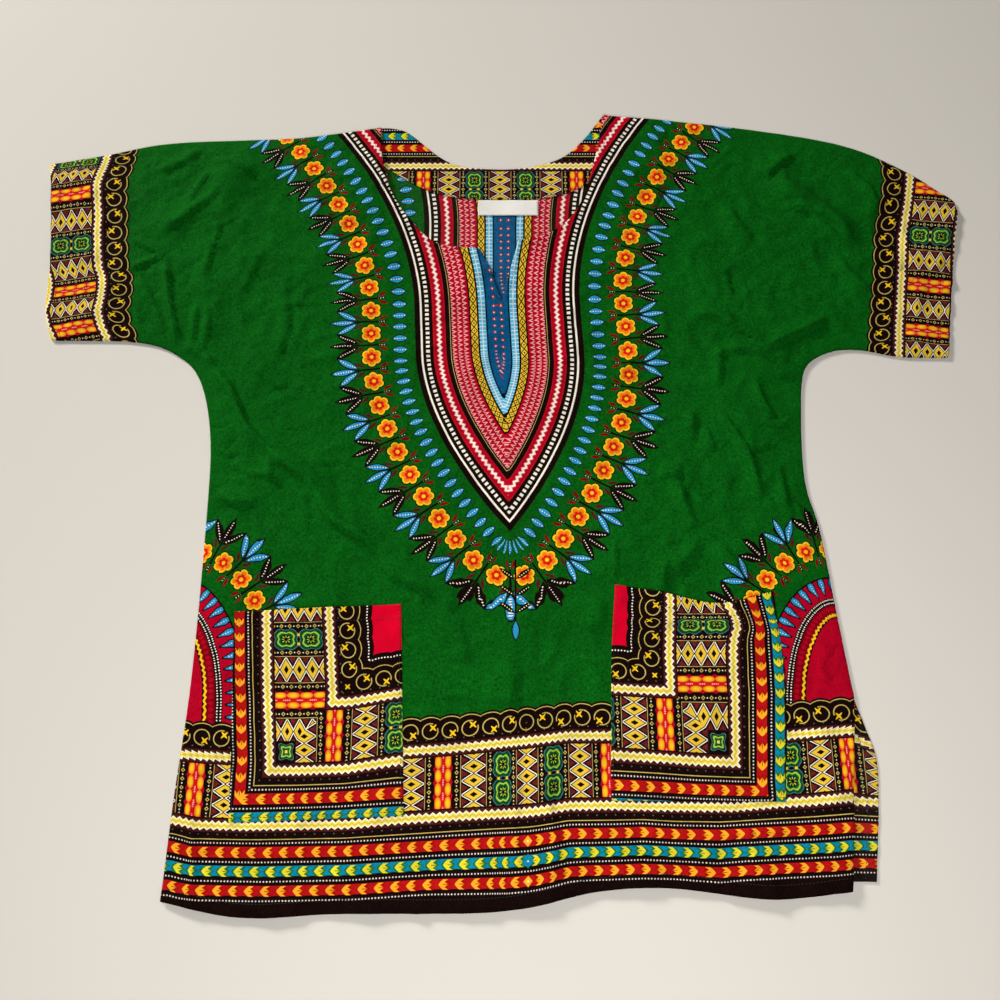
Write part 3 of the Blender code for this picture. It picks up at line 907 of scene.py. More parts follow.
# where the print lies on the cut pieces
printPlan = {
    # rows of the border, each as its height in the print and the places it runs through
    "frontRows": [
        (16.4, [(-294, 19), (-284, 16.7), (-267, 14.8), (-212, 14), (-135, 15.1), (-64, 19.5),
                (9, 20.4), (25, 22), (35, 23.6), (61, 29.9), (74, 31), (127, 32.9), (155, 32.2),
                (195, 29.4), (222, 31.7), (248, 32.9), (300, 35.3), (313, 36.6)]),
        (63.7, [(-296, 67.4), (-277, 62.9), (-216, 62.1), (-144, 63.2), (-65, 67.4), (-12, 70.5),
                (25, 72.4), (35, 73.7), (62, 78), (102, 78.4), (129, 79.2), (157, 77.4),
                (198, 76.7), (225, 78.3), (278, 80.7), (318, 83.5)]),
        (79.4, [(-292, 81.3), (-273, 77.4), (-228, 76.2), (-138, 77.7), (-85, 82.5), (-39, 85.1),
                (14, 87.7), (35, 89.5), (62, 93.9), (100, 94.4), (129, 93.2), (213, 92.6),
                (253, 96.4), (280, 98.1), (318, 101.6)]),
        (139.4, [(-291, 139.1), (-273, 137.7), (-252, 136.4), (-87, 141.7), (-53, 143.7),
                 (-12, 147.5), (15, 150.1), (36, 152.2), (64, 155.7), (99, 155.7), (267, 156.1),
                 (299, 158.8), (324, 160.6)]),
    ],
    "backRows": [
        (16.4, [(-345, 29), (-150, 28), (60, 40), (170, 46), (300, 38), (350, 37)]),
        (63.7, [(-345, 76), (-150, 75), (60, 86), (170, 91), (310, 83), (350, 81)]),
        (79.4, [(-345, 92), (-150, 91), (60, 102), (170, 107), (310, 99), (350, 97)]),
        (139.4, [(-345, 147), (-150, 151), (60, 160), (300, 160), (322, 157), (334, 151),
                 (350, 144)]),
    ],
    # the print runs unevenly along the hem, where small tucks take it up: x, then the place in
    # the print, or a count of half columns or of rings
    "stripes": [(-281, -314.5), (-270, -300.3), (-255, -286.1), (-26, -58.9), (-12, -44.7),
                (-1, -30.5), (9, -16.3), (25, 0), (39, 16.3), (50.5, 30.5), (64, 44.7),
                (106, 87.3), (176, 158.3), (192, 172.5), (275, 257.7), (315, 300.3)],
    "blocks": [(-278, -11), (-250, -10), (-81, -4), (-52, -3), (-24, -2), (3, -1), (24, 0),
               (49, 1), (73.5, 2), (100, 3), (267, 9), (295, 10), (319, 11)],
    "rings": [(-276, -16), (-258, -15), (-83, -6), (-28, -3), (-8, -2), (9, -1), (24, 0), (42, 1),
              (59, 2), (76, 3), (95, 4), (281, 14), (299, 15), (318, 16)],
    # each cuff: its inner ribbon, the heights of the rows along it, their slant, and how far
    # the print is drawn out on its outer and inner side
    "cuffs": [
        {
            "outward": -1.0,
            "ribbon": [(563, -414), (577, -422), (593, -427), (606, -425.5), (623, -425),
                       (633, -427), (647, -433), (667, -436), (688, -439), (709, -441),
                       (730, -444.5), (752, -447), (767, -445), (784, -441), (788, -441)],
            "rows": [(578.4, 7), (602.2, 8), (623, 7), (647, 6), (678.2, 5), (707.5, 4),
                     (742.4, 3), (767.5, 2), (782, 1), (805, 0)],
            "rings": [(552, 18), (571, 17), (586.4, 16), (602.3, 15), (617.7, 14), (634.2, 13),
                      (648.8, 12), (668.3, 11), (688.4, 10), (709, 9), (731.4, 8), (749.5, 7),
                      (769.5, 6), (783, 5), (794, 4)],
            "slant": 0.16,
            "drawn": (1.05, 0.88),
        },
        {
            "outward": 1.0,
            "ribbon": [(542, 417), (561, 418.6), (585, 422.3), (609, 426.7), (633, 430.6),
                       (657, 434), (682, 437.5), (707, 444), (732, 450.6), (758, 456.3)],
            "rows": [(549, 6), (572, 7), (598.5, 8), (626.5, 7), (655.6, 6), (686.5, 5), (719, 4),
                     (747, 3), (775, 2), (803, 1)],
            "rings": [(533, 17), (550.3, 16), (564.9, 15), (582.5, 14), (601.5, 13), (620.4, 12),
                      (639.7, 11), (658.9, 10), (679.6, 9), (698.9, 8), (722, 7), (743.1, 6),
                      (763.5, 5), (784, 4)],
            "slant": -0.09,
            "drawn": (1.0, 0.94),
        },
    ],
    "cuffReach": 330.0,
    "cuffFoot": 480.0,
    "ribbon": 139.4,  # the inner ribbon's height in the print
    # from stripes to blocks and from blocks to rings: where in the print, and over how much
    "changes": [(66.0, 18.0), (134.0, 13.0)],
    "frontTip": (10.0, 351.0, -0.052),
    "backTip": (5.0, 446.0, 0.0),
    "ornament": {
        "half": 88.0, "round": 190.0, "power": 1.8, "flareFrom": 249.0, "flare": 19.0,
        "tall": 540.0, "garland": 46.0, "pendant": 30.0, "stem": 5.0,
    },
    "arch": {
        "x": 318.0, "shift": 4.0, "y": 175.0, "wide": 76.0, "tall": 131.0, "leg": 90.0,
        "garland": 40.0, "sprigOut": 18.0, "from": 150.0, "under": 400.0,
    },
}


def follow(at, table, pitch=1.0):
    # reads off a table of (place, value), and runs on evenly past its ends
    place, value = np.array(table, float).T
    past = np.minimum(at - place[0], 0.0) + np.maximum(at - place[-1], 0.0)
    return np.interp(at, place, value * pitch) + past


def heightInPrint(position, level, rows):
    # the height in the print, read between rows whose heights are known
    at = [np.interp(level, *np.array(places, float).T) for _, places in rows]
    heights = [height for height, _ in rows]
    found = heights[0] + position - at[0]
    for k in range(1, len(rows)):
        share = (position - at[k - 1]) / (at[k] - at[k - 1])
        between = heights[k - 1] + share * (heights[k] - heights[k - 1])
        found = np.where(position > at[k - 1], between, found)
    return np.where(position > at[-1], heights[-1] + position - at[-1], found)


def borderField(points, rows):
    x, y = points[:, 0], points[:, 1]
    plan, column, ring = printPlan, borderPlan["column"], borderPlan["ring"]
    v = heightInPrint(y, x, rows)
    u = follow(x, plan["stripes"])
    for (start, over), table, pitch in zip(plan["changes"], ("blocks", "rings"), (column, ring)):
        u += smooth((v - start) / over) * (follow(x, plan[table], pitch) - u)
    ringRun = u.copy()
    for cuff in plan["cuffs"]:
        outward = cuff["outward"]
        onCuff = (x * outward > plan["cuffReach"]) & (y > plan["cuffFoot"])
        fromRibbon = (x - np.interp(y, *np.array(cuff["ribbon"], float).T)) * outward
        drawn = np.where(fromRibbon > 0, *cuff["drawn"])
        v = np.where(onCuff, plan["ribbon"] - fromRibbon * drawn, v)
        level = y - cuff["slant"] * fromRibbon * outward
        u = np.where(onCuff, follow(level, cuff["rows"], column), u)
        ringRun = np.where(onCuff, follow(y, cuff["rings"], ring), ringRun)
    return np.column_stack([u, v, ringRun])


def ornamentSides(tip):
    # the neck ornament's outline as two lines from its tip up
    middle, foot, lean = tip
    shape = printPlan["ornament"]
    t = np.linspace(0.0, shape["tall"], 136)
    rounding = np.clip(1.0 - t / shape["round"], 0.0, 1.0) ** shape["power"]
    half = shape["half"] * (1.0 - rounding)
    half += shape["flare"] * (np.clip(t - shape["flareFrom"], 0.0, None) / 100.0) ** 1.9
    axis = middle + lean * t
    return [np.column_stack([axis + sign * half, foot + t]) for sign in (-1.0, 1.0)]


def ornamentFields(points, tip):
    left, right = ornamentSides(tip)
    fromLeft, alongLeft = alongLine(points, left)
    fromRight, alongRight = alongLine(points, right)
    isLeft = np.abs(fromLeft) < np.abs(fromRight)
    inward = np.abs(np.where(isLeft, fromLeft, fromRight))
    inward[~isInside(points, np.vstack([left[::-1], right]))] *= -1.0
    run = np.where(isLeft, alongLeft, alongRight)
    down = tip[1] - printPlan["ornament"]["pendant"] - points[:, 1]
    neck = np.column_stack([run, inward, down])
    # the garland follows a line outside the ornament, round at the tip
    outer = printPlan["ornament"]["garland"]
    wideLeft, wideRight = offsetLine(left, outer), offsetLine(right, -outer)
    toRight = wideRight[0] - left[0]
    spread = math.atan2(toRight[1], toRight[0]) + math.pi / 2
    turns = np.linspace(-spread, spread, 15)[1:-1] - math.pi / 2
    bow = np.array(tip[:2]) + outer * np.column_stack([np.cos(turns), np.sin(turns)])
    line = np.vstack([wideLeft[::-1], bow, wideRight])
    away, along = alongLine(points, line)
    middle = alongLine(np.array([[tip[0], tip[1] - outer]]), line)[1][0]
    return neck, np.column_stack([along - middle, outer - away, np.zeros(len(away))])


def archFields(points, garland, middle):
    # a half round at each side seam takes over the garland below the arms
    plan = printPlan["arch"]
    turns = np.linspace(0.0, math.pi, 41)
    bow = np.column_stack([np.cos(turns) * plan["wide"], np.sin(turns) * plan["tall"]])
    legs = np.array([[plan["wide"], -plan["leg"]], [-plan["wide"], -plan["leg"]]])
    shape = np.vstack([legs[:1], bow, legs[1:]])
    fromMiddle = points[:, 0] - middle
    isLow = (np.abs(fromMiddle) > plan["from"]) & (points[:, 1] < plan["under"])
    best = np.full(len(points), -1e3)
    run = np.zeros(len(points))
    for side in (-1.0, 1.0):
        centre = np.array([side * plan["x"] + plan["shift"], plan["y"]])
        line = centre + shape
        wide = offsetLine(line, -plan["garland"])
        inward, along = alongLine(points, line)
        outerAlong = alongLine(points, wide)[1]
        apex = alongLine(centre[None] + (0.0, plan["tall"]), line)[1][0]
        outerApex = alongLine(centre[None] + (0.0, plan["tall"] + plan["garland"]), wide)[1][0]
        isBeside = isLow & (points[:, 0] * side > 0)
        sprigAlong = outerAlong - outerApex + garlandPlan["cell"] / 2
        sprigs = np.column_stack([sprigAlong, plan["sprigOut"] - inward, np.ones(len(run))])
        garland[isBeside] = sprigs[isBeside]
        closer = inward > best
        best[closer] = inward[closer]
        run[closer] = (along - apex)[closer]
    return np.column_stack([run, best, fromMiddle - printPlan["ornament"]["stem"]])


def shirtFields(points, rows, tip):
    neck, garland = ornamentFields(points, tip)
    arch = archFields(points, garland, tip[0])
    return {"border": borderField(points, rows), "neck": neck, "garland": garland, "arch": arch}


sewing = {
    "length": 2.3,
    "pitch": 3.3,
    "radius": 0.27,
    "sink": 0.1,
    "bow": 0.16,
    "sides": 6,
    "rings": [(-0.5, 0.45), (-0.3, 1.0), (0.3, 1.0), (0.5, 0.45)],  # along it, and how thick
    "takenUp": 0.006,
}


def stitches(name, runs, heights, colour):
    # short rounded stitches along lines, lying on the cloth
    rings, count = sewing["rings"], sewing["sides"]
    turns = [2 * k * math.pi / count for k in range(count)]
    ring = [(math.cos(turn), math.sin(turn)) for turn in turns]
    vertices, polygons = [], []
    for line in runs:
        steps = np.linalg.norm(np.diff(line, axis=0), axis=1)
        run = np.concatenate([[0.0], np.cumsum(steps)])
        at = np.arange(sewing["pitch"] / 2, run[-1], sewing["pitch"])
        places, ahead = (
            np.column_stack([np.interp(at + further, run, line[:, k]) for k in (0, 1)])
            for further in (0.0, 0.5)
        )
        ahead -= places
        ahead /= np.maximum(np.linalg.norm(ahead, axis=1), 1e-6)[:, None]
        for place, height, (dx, dy) in zip(places, heights(places), ahead):
            if np.isnan(height):
                continue
            first = len(vertices)
            for share, size in rings:
                along = share * sewing["length"]
                bow = sewing["bow"] * (1.0 - 4.0 * share * share)
                for side, up in ring:
                    off = side * size * sewing["radius"]
                    vertices.append((
                        place[0] + dx * along - dy * off,
                        place[1] + dy * along + dx * off,
                        height - sewing["sink"] + bow + up * size * sewing["radius"],
                    ))
            last = len(vertices) - count
            for low in range(first, last, count):
                for k in range(count):
                    after = low + (k + 1) % count
                    polygons.append((after, low + k, low + k + count, after + count))
            polygons.append(tuple(range(first, first + count)))
            polygons.append(tuple(reversed(range(last, last + count))))
    mesh = bpy.data.meshes.new(name)
    mesh.from_pydata(inFrame(vertices).tolist(), [], polygons)
    print(f"{name}: {len(vertices) // (count * len(rings))} stitches")
    return placed(name, mesh, colour)


def declareSheet(net):
    # each piece was cut flat, a little larger than it lies now; this only works out the area of
    # cloth it was cut from, which nothing further uses
    points, faces, _ = net
    cut = (1.0 + sewing["takenUp"]) * drawing["millimetre"]
    sides = points[faces[:, 1:]] - points[faces[:, :1]]
    area = 0.5 * np.abs(np.cross(sides[:, 0], sides[:, 1])).sum() * cut**2


back = {
    "pitch": 5.2,
    "thickness": 0.85,
    "top": 1.12,
    "hem": 10.0,
    "relief": 0.9,
    "bare": [((318, 95), (34, 120)), ((0, 640), (70, 62))],  # middle and half size
    "ridge": [(5.0, 448.0), (5.0, 600.0), (5.0, 764.0)],
    "hems": [((-300, 30), (345, 25)), ((345, 25), (352, 190))],
}
net = flatNet(solidTop("back_panel")[2], back["pitch"], [back["ridge"]])
points, _, outline = net
top = np.full(len(points), back["top"])
for middle, half in back["bare"]:
    # it rumples where nothing lies on it
    share = np.hypot(*((points - middle) / half).T)
    crests = rumple(points, 26.0, back["relief"], 2.2, True) + rumple(points, 11.0, 0.4, 6.1)
    top += smooth(1.6 - 1.6 * share) * np.maximum(crests + 0.4, 0.0)
patterns = shirtFields(points, printPlan["backRows"], printPlan["backTip"])
backPiece, overBack = clothPiece(
    "back", net, (top, top - back["thickness"]), patterns, shirtPrint, innerUp=True
)
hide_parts("back_panel")
runs = [offsetLine(stretchOf(outline, *ends), back["hem"]) for ends in back["hems"]]
backThread = stitches("backStitches", runs, overBack, blackThread)
declareSheet(net)

# the facing inside the back of the neck, and the label
facing = {
    "pitch": 4.0, "thickness": 0.8, "top": 2.4,
    "printTop": 854.0,  # where the print's outer edge would lie
    "seam": [(-166, 819), (150, 836)], "seamInset": 2.0,
}
net = flatNet(solidTop("back_neck_facing")[2], facing["pitch"])
points, _, outline = net
x, y = points.T
top = np.full(len(points), facing["top"])
fields = np.column_stack([x, facing["printTop"] - y, x * 0])
facingPiece, overFacing = clothPiece(
    "facing", net, (top, top - facing["thickness"]), {"border": fields}, facingPrint,
)
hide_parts("back_neck_facing")
runs = [offsetLine(stretchOf(outline, *facing["seam"]), facing["seamInset"])]
thread = stitches("facingStitches", runs, overFacing, blackThread)
declareSheet(net)

label = {
    "pitch": 3.0, "thickness": 0.5, "top": 2.15, "wave": 0.25, "waveLength": 9.0,
    "ends": [[(x, 712.5), (x, 728.5)] for x in (-22.5, 40.5)],
}
net = flatNet(solidTop("neck_label")[2], label["pitch"])
top = label["top"] + label["wave"] * np.sin(net[0][:, 0] / label["waveLength"]) ** 2
labelPiece, overLabel = clothPiece(
    "label", net, (top, top - label["thickness"]), {}, labelSatin
)
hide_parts("neck_label")
ends = np.array(label["ends"])
thread = stitches("labelStitches", ends, overLabel, whiteThread)
declareSheet(net)

front = {
    "thickness": 0.8,
    "seamTaper": 20.0,
    "creaseRise": 1.7,
    "pucker": 0.7,
    # size, height, seed, and whether it is ridged
    "rumple": [
        (64.0, 2.0, 3.1, False), (36.0, 1.4, 7.7, True), (18.0, 0.8, 4.4, True),
        (9.0, 0.38, 1.9, True),
    ],
    # the corners of its outline, and what runs from each to the next
    "edges": [
        ("hem", (-300, 13)), ("vent", (312, 21)), ("rightSeam", (332, 190)),
        ("rightCuff", (469, 540)), ("rightTop", (498, 731)), ("neckRight", (117, 841)),
        ("slit", (20, 677)), ("neckLeft", (-22, 668)), ("leftTop", (-134, 824)),
        ("leftCuff", (-502, 776)), ("leftSeam", (-472, 560)),
    ],
    "hems": {
        "hem": 11.5, "vent": 9.0, "rightCuff": 10.0, "leftCuff": 10.0, "neckRight": 7.0,
        "slit": 4.5, "neckLeft": 7.0,
    },
    "sewn": ["hem", "rightCuff", "leftCuff", "neckRight", "neckLeft", "slit"],
    "slitRidge": [(10.0, 352.0), (3.0, 480.0), (-3.0, 597.0)],
    "hemStep": 0.35,
    "hemDimple": 0.28,
    # each crest's points, x and y in turn, and then its half width, height and sharpness
    "creases": [
        # left sleeve
        (-390, 759, -359, 776, -329, 799, 8.0, 1.6, 0.6),
        (-323, 777, -295, 772, -269, 757, 6.8, 3, 0.7),
        (-304, 751, -328, 723, -347, 699, -375, 682, 8.0, 1.8, 0.7),
        (-323, 771, -334, 743, -343, 713, 6, 1.7, 0.6),
        (-305, 707, -311, 669, -313, 625, 6, 1.9, 0.6),
        (-404, 677, -381, 669, -358, 661, 6.0, 3.2, 0.9),
        (-400, 640, -377, 654, -358, 664, 6.0, 2.8, 0.9),
        (-364, 664, -351, 617, -338, 545, 6.5, 3.4, 0.8),
        # under the left arm
        (-389, 637, -368, 599, -346, 566, 6.8, 2.4, 0.6),
        (-323, 607, -322, 577, -319, 550, 5.2, 2.0, 0.7),
        (-310, 601, -308, 573, -308, 546, 5.2, 2.4, 0.6),
        (-336, 550, -318, 541, -296, 526, 10.2, 3, 0.5),
        # left chest
        (-226, 641, -227, 585, -233, 519, 11.6, 2, 0.4),
        (-230, 604, -206, 602, -184, 602, 3, 1.1, 0.8),
        (-276, 546, -251, 529, -219, 495, 12.0, 2.6, 0.5),
        (-247, 673, -269, 633, -281, 609, 7.0, 1.2, 0.6),
        # left side, with its long diagonals
        (-308, 542, -273, 492, -251, 457, -226, 422, 8.0, 5.2, 0.7),
        (-232, 431, -231, 412, -228, 404, 5.2, 2.4, 0.7),
        (-220, 432, -196, 422, -158, 425, 4.5, 2, 0.8),
        (-262, 416, -232, 407, -213, 398, 5.2, 2.2, 0.6),
        (-287, 392, -270, 385, -260, 369, 10.2, 2.8, 0.5),
        (-292, 440, -279, 435, -267, 430, 4.5, 1.8, 0.6),
        (-248, 458, -205, 411, -176, 379, -148, 351, -108, 312, 14.0, 5.2, 0.6),
        (-124, 326, -84, 301, -63, 285, -46, 255, 15.0, 3.6, 0.5),
        (-288, 389, -265, 381, -237, 384, 4.5, 2.2, 0.7),
        (-286, 403, -272, 406, -251, 402, 4.5, 1.6, 0.6),
        (-194, 397, -191, 375, -191, 349, 5.2, 1.6, 0.6),
        # middle, left
        (-36, 271, -34, 245, -35, 220, 11.6, 2, 0.3),
        (-83, 247, -63, 245, -48, 247, 3, 1.1, 0.8),
        (-60, 192, -41, 190, -28, 192, 3, 1.1, 0.8),
        # right sleeve
        (292, 751, 310, 771, 333, 794, 11.0, 2.6, 0.5),
        (289, 746, 328, 726, 358, 700, 381, 669, 16.7, 4.8, 0.35),
        (299, 720, 337, 707, 364, 679, 373, 661, 6, 2.7, 0.6),
        (382, 769, 405, 741, 416, 715, 6.8, 2.4, 0.6),
        (363, 667, 376, 635, 398, 611, 6.8, 2.4, 0.6),
        # right chest
        (243, 649, 244, 625, 247, 605, 3.8, 1.9, 0.8),
        (243, 720, 256, 698, 280, 673, 15.3, 2.4, 0.3),
        # the star at the right armpit
        (196, 588, 233, 581, 261, 568, 284, 545, 10.0, 3.8, 0.7),
        (276, 544, 298, 558, 326, 577, 352, 590, 8.0, 3.4, 0.7),
        (212, 536, 246, 546, 296, 537, 7.0, 2.8, 0.7),
        (231, 561, 229, 542, 220, 500, 8.0, 2.2, 0.6),
        (285, 519, 302, 515, 312, 519, 5.2, 1.9, 0.6),
        # right side
        (263, 515, 271, 494, 281, 469, 6, 3, 0.7),
        (223, 484, 239, 459, 250, 427, 261, 378, 6, 3.5, 0.8),
        (251, 441, 259, 439, 270, 441, 3, 1.4, 0.8),
        (263, 471, 277, 465, 297, 467, 4.5, 1.8, 0.6),
        (279, 420, 284, 399, 288, 378, 5.2, 2.2, 0.6),
        (207, 464, 212, 449, 220, 435, 8.84, 2.4, 0.5),
        (195, 482, 195, 460, 198, 442, 10.2, 2, 0.4),
        (200, 413, 218, 405, 233, 395, 15.3, 2.8, 0.3),
        # right waist and middle
        (177, 410, 182, 392, 188, 375, 6, 2.2, 0.6),
        (178, 398, 183, 375, 193, 352, 6, 2.7, 0.7),
        (193, 344, 178, 318, 172, 303, 12.8, 3, 0.4),
        (208, 338, 226, 323, 239, 305, 11.6, 3, 0.5),
        (160, 416, 171, 412, 184, 414, 11.6, 2.4, 0.3),
        (115, 347, 112, 320, 110, 295, 3, 2.2, 0.9),
        (166, 327, 162, 303, 162, 284, 11.6, 2.4, 0.4),
        (94, 287, 93, 271, 95, 251, 11.6, 2, 0.3),
        (265, 445, 268, 440, 278, 442, 3, 1.4, 0.8),
        (283, 403, 284, 378, 291, 357, 5.2, 2.2, 0.6),
        (295, 385, 299, 368, 303, 344, 4.5, 1.9, 0.6),
        (18, 220, 16, 201, 14, 179, 16.7, 2.8, 0.3),
        # uprights in the hem
        (16, 20, 15, 90, 16, 150, 14, 185, 4, 2, 0.9),
        (-272, 12, -274, 60, -280, 110, 5, 2.2, 0.8),
        (224, 25, 226, 60, 222, 84, 6, 1.8, 0.7),
        (46, 18, 48, 60, 46, 110, 44, 150, 8, 2.2, 0.6),
    ],
}
solidPoints, solidFaces, rim = solidTop("front_panel")
outline = smoothLine(rim, cloth["edgeStep"], True, cloth["cornerAngle"])
corners = front["edges"] + front["edges"][:1]
edges = {
    name: stretchOf(outline, start, end)
    for (name, start), (_, end) in zip(corners, corners[1:])
}
hemLines = {name: offsetLine(edges[name], inset) for name, inset in front["hems"].items()}
ridges = [front["slitRidge"]] + [line[2:-2:2] for line in hemLines.values()]
net = flatNet(rim, cloth["pitch"], ridges)
points, faces, outline = net
top = heightOver(solidPoints, solidFaces)(points)
toRim = gapTo(points, np.vstack([outline, outline[:1]]))
top = relaxed(top, faces, cloth["relaxRounds"], toRim < 0.2)
seams = [edges[name] for name in ("rightSeam", "rightTop", "leftTop", "leftSeam")]
seam = np.min([gapTo(points, line) for line in seams], axis=0)
lift = front["creaseRise"] * creaseLift(points, front["creases"])
for size, height, seed, ridged in front["rumple"]:
    lift += rumple(points, size, height, seed, ridged)
top = top - 0.1 + lift * (0.1 + 0.9 * smooth(seam / front["seamTaper"]))
for name in ("leftSeam", "rightSeam"):
    # the side seams pucker
    away, run = alongLine(points, edges[name])
    ripples = rumple(np.column_stack([run, 0.22 * away]), 7.0, front["pucker"], 8.3)
    top += ripples * smooth(np.abs(away) / 6.0) * smooth(1.0 - np.abs(away) / 34.0)
for name, inset in front["hems"].items():
    away = gapTo(points, edges[name]) - inset
    top += front["hemStep"] * (1.0 - smooth((away - 0.6) / 1.8))
    top -= front["hemDimple"] * bell(away, 1.3)
floorOfFront = np.full(len(points), back["top"])
for over in (overBack, overFacing, overLabel):
    floorOfFront = np.fmax(floorOfFront, over(points))
top = np.maximum(top, floorOfFront + cloth["clearance"] + front["thickness"])
patterns = shirtFields(points, printPlan["frontRows"], printPlan["frontTip"])
heights = roundedRim(top, front["thickness"], toRim, 0.12)
frontPiece, overFront = clothPiece("front", net, heights, patterns, shirtPrint)
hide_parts("front_panel")
frontNet = net

pockets = {
    "thickness": 0.8,
    "pitch": 3.4,
    "mouthHem": 13.0,
    "sideHem": 2.2,
    "gape": 2.2,
    "gapeDepth": 55.0,
    "footDrop": 2.0,
    "rumple": [(30.0, 0.7, 5.5), (12.0, 0.3, 9.1)],
    "tuckY": 262.0,
    "tuckRise": 1.3,
    "places": {
        "pocket_left": {
            "name": "leftPocket",
            "mouth": [(-95, 278), (-255, 271)],
            "side": [(-244, 81), (-255, 271)],
            "foot": [(-244, 81), (-87, 87)],
            "inner": [(-87, 87), (-95, 278)],
            "outward": -1.0,
            # rows of the border up the side and along the foot, as on the shirt
            "sideRows": [
                (55.8, [(134, -236.6), (193, -242.7), (269, -250.2)]),
                (79.4, [(125, -210.2), (152, -212.9), (193, -217.5), (269, -223.7)]),
                (139.4, [(193, -156.4), (271, -163.6)]),
            ],
            "footRows": [
                (55.8, [(-230, 99.4), (-182, 100.3), (-146, 101.4), (-94, 104.6)]),
                (79.4, [(-210, 124.7), (-184, 124.7), (-140, 126.2), (-95, 133.7)]),
            ],
            "mitre": 1022.8,
            "tuck": 0.0,
        },
        "pocket_right": {
            "name": "rightPocket",
            "mouth": [(264, 291), (210, 279), (150, 291), (111, 297)],
            "side": [(259, 99), (268, 198), (264, 291)],
            "foot": [(101, 100), (259, 99)],
            "inner": [(111, 297), (105, 216), (101, 100)],
            "outward": 1.0,
            "sideRows": [
                (40.05, [(116, -255.5), (195, -262.5), (223, -263.2), (247, -263.3),
                         (267, -260.1), (285, -256.8)]),
                (55.8, [(116, -238.8), (195, -245.3), (223, -246.6), (245, -246.4),
                        (254, -249.1), (269, -245.9), (284, -242.2)]),
                (79.4, [(134, -215.9), (195, -220.1), (212, -219.6), (235, -220.6),
                        (247, -223.1), (257, -227), (267, -224), (278, -217.6)]),
                (139.4, [(198, -159.7), (231, -160), (282, -163.4)]),
            ],
            "footRows": [
                (55.8, [(107, 111.8), (143, 110), (181, 108), (227, 106.8)]),
                (79.4, [(103, 138.6), (145, 135.9), (178, 133.3), (215, 131.5)]),
                (139.4, [(105, 198.7), (154, 196.4)]),
            ],
            "mitre": 1026.2,
            "tuck": 7.0,  # print taken up by a tuck across it
        },
    },
}
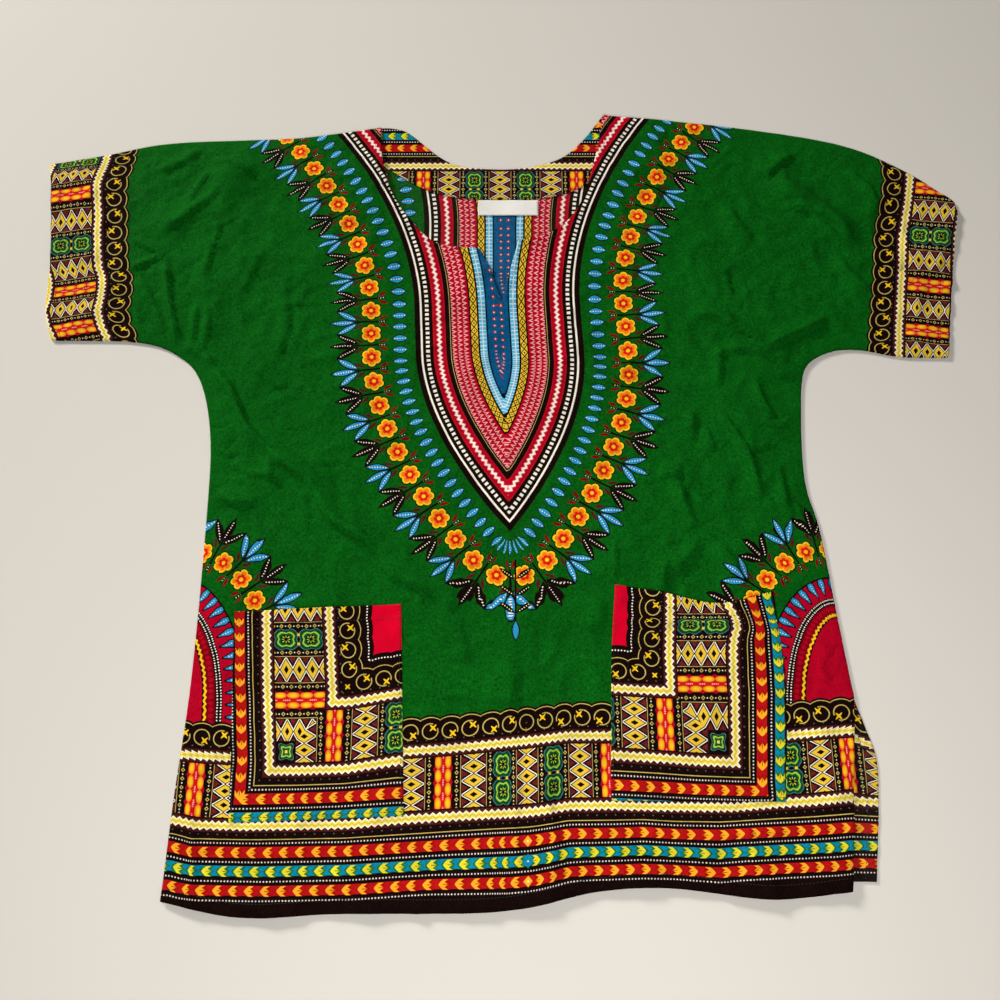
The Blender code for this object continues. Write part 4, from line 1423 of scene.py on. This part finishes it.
for node, place in pockets["places"].items():
    _, _, rim = solidTop(node)
    rim[rim[:, 1] < 110.0, 1] -= pockets["footDrop"]
    net = flatNet(rim, pockets["pitch"])
    points, faces, outline = net
    x, y = points.T
    names = ("mouth", "side", "foot", "inner")
    lines = {name: smoothLine(place[name], cloth["lineStep"]) for name in names}
    away = {name: gapTo(points, line) for name, line in lines.items()}
    toRim = gapTo(points, np.vstack([outline, outline[:1]]))
    sides = np.minimum(away["side"], away["inner"])
    sewn = np.minimum(sides, away["foot"]) - pockets["sideHem"]
    fromHem = away["mouth"] - pockets["mouthHem"]
    bed = overFront(points) + pockets["thickness"]
    top = relaxed(bed + cloth["clearance"], faces, 6, np.zeros(len(points), bool))
    gape = pockets["gape"] * smooth(1.0 - away["mouth"] / pockets["gapeDepth"])
    top += gape * smooth(sides / 60.0)
    for size, height, seed in pockets["rumple"]:
        top += rumple(points, size, height, seed, True)
    if place["tuck"]:
        top += pockets["tuckRise"] * bell(y - pockets["tuckY"], 3.2) * smooth(sides / 25.0)
    top += 0.35 * (1.0 - smooth(fromHem / 2.0)) - 0.25 * bell(fromHem, 1.5) - 0.3 * bell(sewn, 1.5)
    top = np.maximum(top, bed + 0.05)
    fromSide = heightInPrint(-place["outward"] * x, y, place["sideRows"])
    fromFoot = heightInPrint(y, x, place["footRows"])
    fromFoot += place["tuck"] * smooth((y - pockets["tuckY"] + 4.0) / 8.0)
    fields = np.column_stack([fromSide, fromFoot, np.full(len(x), place["mitre"])])
    heights = roundedRim(top, pockets["thickness"], toRim, 0.1)
    piece, overPocket = clothPiece(
        place["name"], net, heights, {"border": fields}, pocketPrint
    )
    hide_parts(node)
    inset = pockets["sideHem"]
    runs = [
        offsetLine(lines["foot"], inset), offsetLine(lines["side"], place["outward"] * inset),
        offsetLine(lines["inner"], inset), offsetLine(lines["mouth"], pockets["mouthHem"]),
    ]
    name = place["name"] + "Stitches"
    thread = stitches(name, runs, overPocket, blackThread)
    declareSheet(net)

runs = [hemLines[name] for name in front["sewn"]]
frontThread = stitches("hemStitches", runs, overFront, blackThread)
declareSheet(frontNet)

bpy.ops.mesh.primitive_plane_add(size=12.0)
floor = bpy.context.object
floor.name = "floor"
floorPaint = Paint("paleFloor", roughness=0.7)
floorPaint.shader.inputs["Base Color"].default_value = (0.70, 0.67, 0.62, 1.0)
floor.data.materials.append(floorPaint.material)
bpy.context.scene.view_settings.view_transform = "Standard"

camera = {"target": (0.0, -0.0357, 0.0), "distance": 0.948, "tilt": 17.0, "lens": 34.13}
lens = bpy.data.cameras.new("camera")
lens.lens = camera["lens"]
lens.sensor_width = 36.0
viewer = bpy.data.objects.new("camera", lens)
tilt = math.radians(camera["tilt"])
aim = Vector(camera["target"])
viewer.location = aim + camera["distance"] * Vector((0.0, -math.sin(tilt), math.cos(tilt)))
viewer.rotation_euler = (tilt, 0.0, 0.0)
bpy.context.scene.collection.objects.link(viewer)
bpy.context.scene.camera = viewer

studio = [
    # name, place, size, power, colour
    ("key", (-2.6, 2.7, 1.5), 0.7, 187.0, (1.0, 0.97, 0.92)),
    ("fill", (1.6, -1.0, 2.2), 2.0, 5.0, (0.97, 0.98, 1.0)),
    ("front", (0.05, -0.72, 1.0), 0.35, 8.5, (1.0, 0.98, 0.95)),
]
for name, place, size, power, colour in studio:
    light = bpy.data.lights.new(name, "AREA")
    light.size = size
    light.energy = power
    light.color = colour
    lamp = bpy.data.objects.new(name, light)
    lamp.location = place
    lamp.rotation_euler = (aim - Vector(place)).to_track_quat("-Z", "Y").to_euler()
    bpy.context.scene.collection.objects.link(lamp)
world = bpy.data.worlds.new("studio")
world.use_nodes = True
world.node_tree.nodes["Background"].inputs["Color"].default_value = (1.0, 0.98, 0.95, 1.0)
world.node_tree.nodes["Background"].inputs["Strength"].default_value = 0.12
bpy.context.scene.world = world
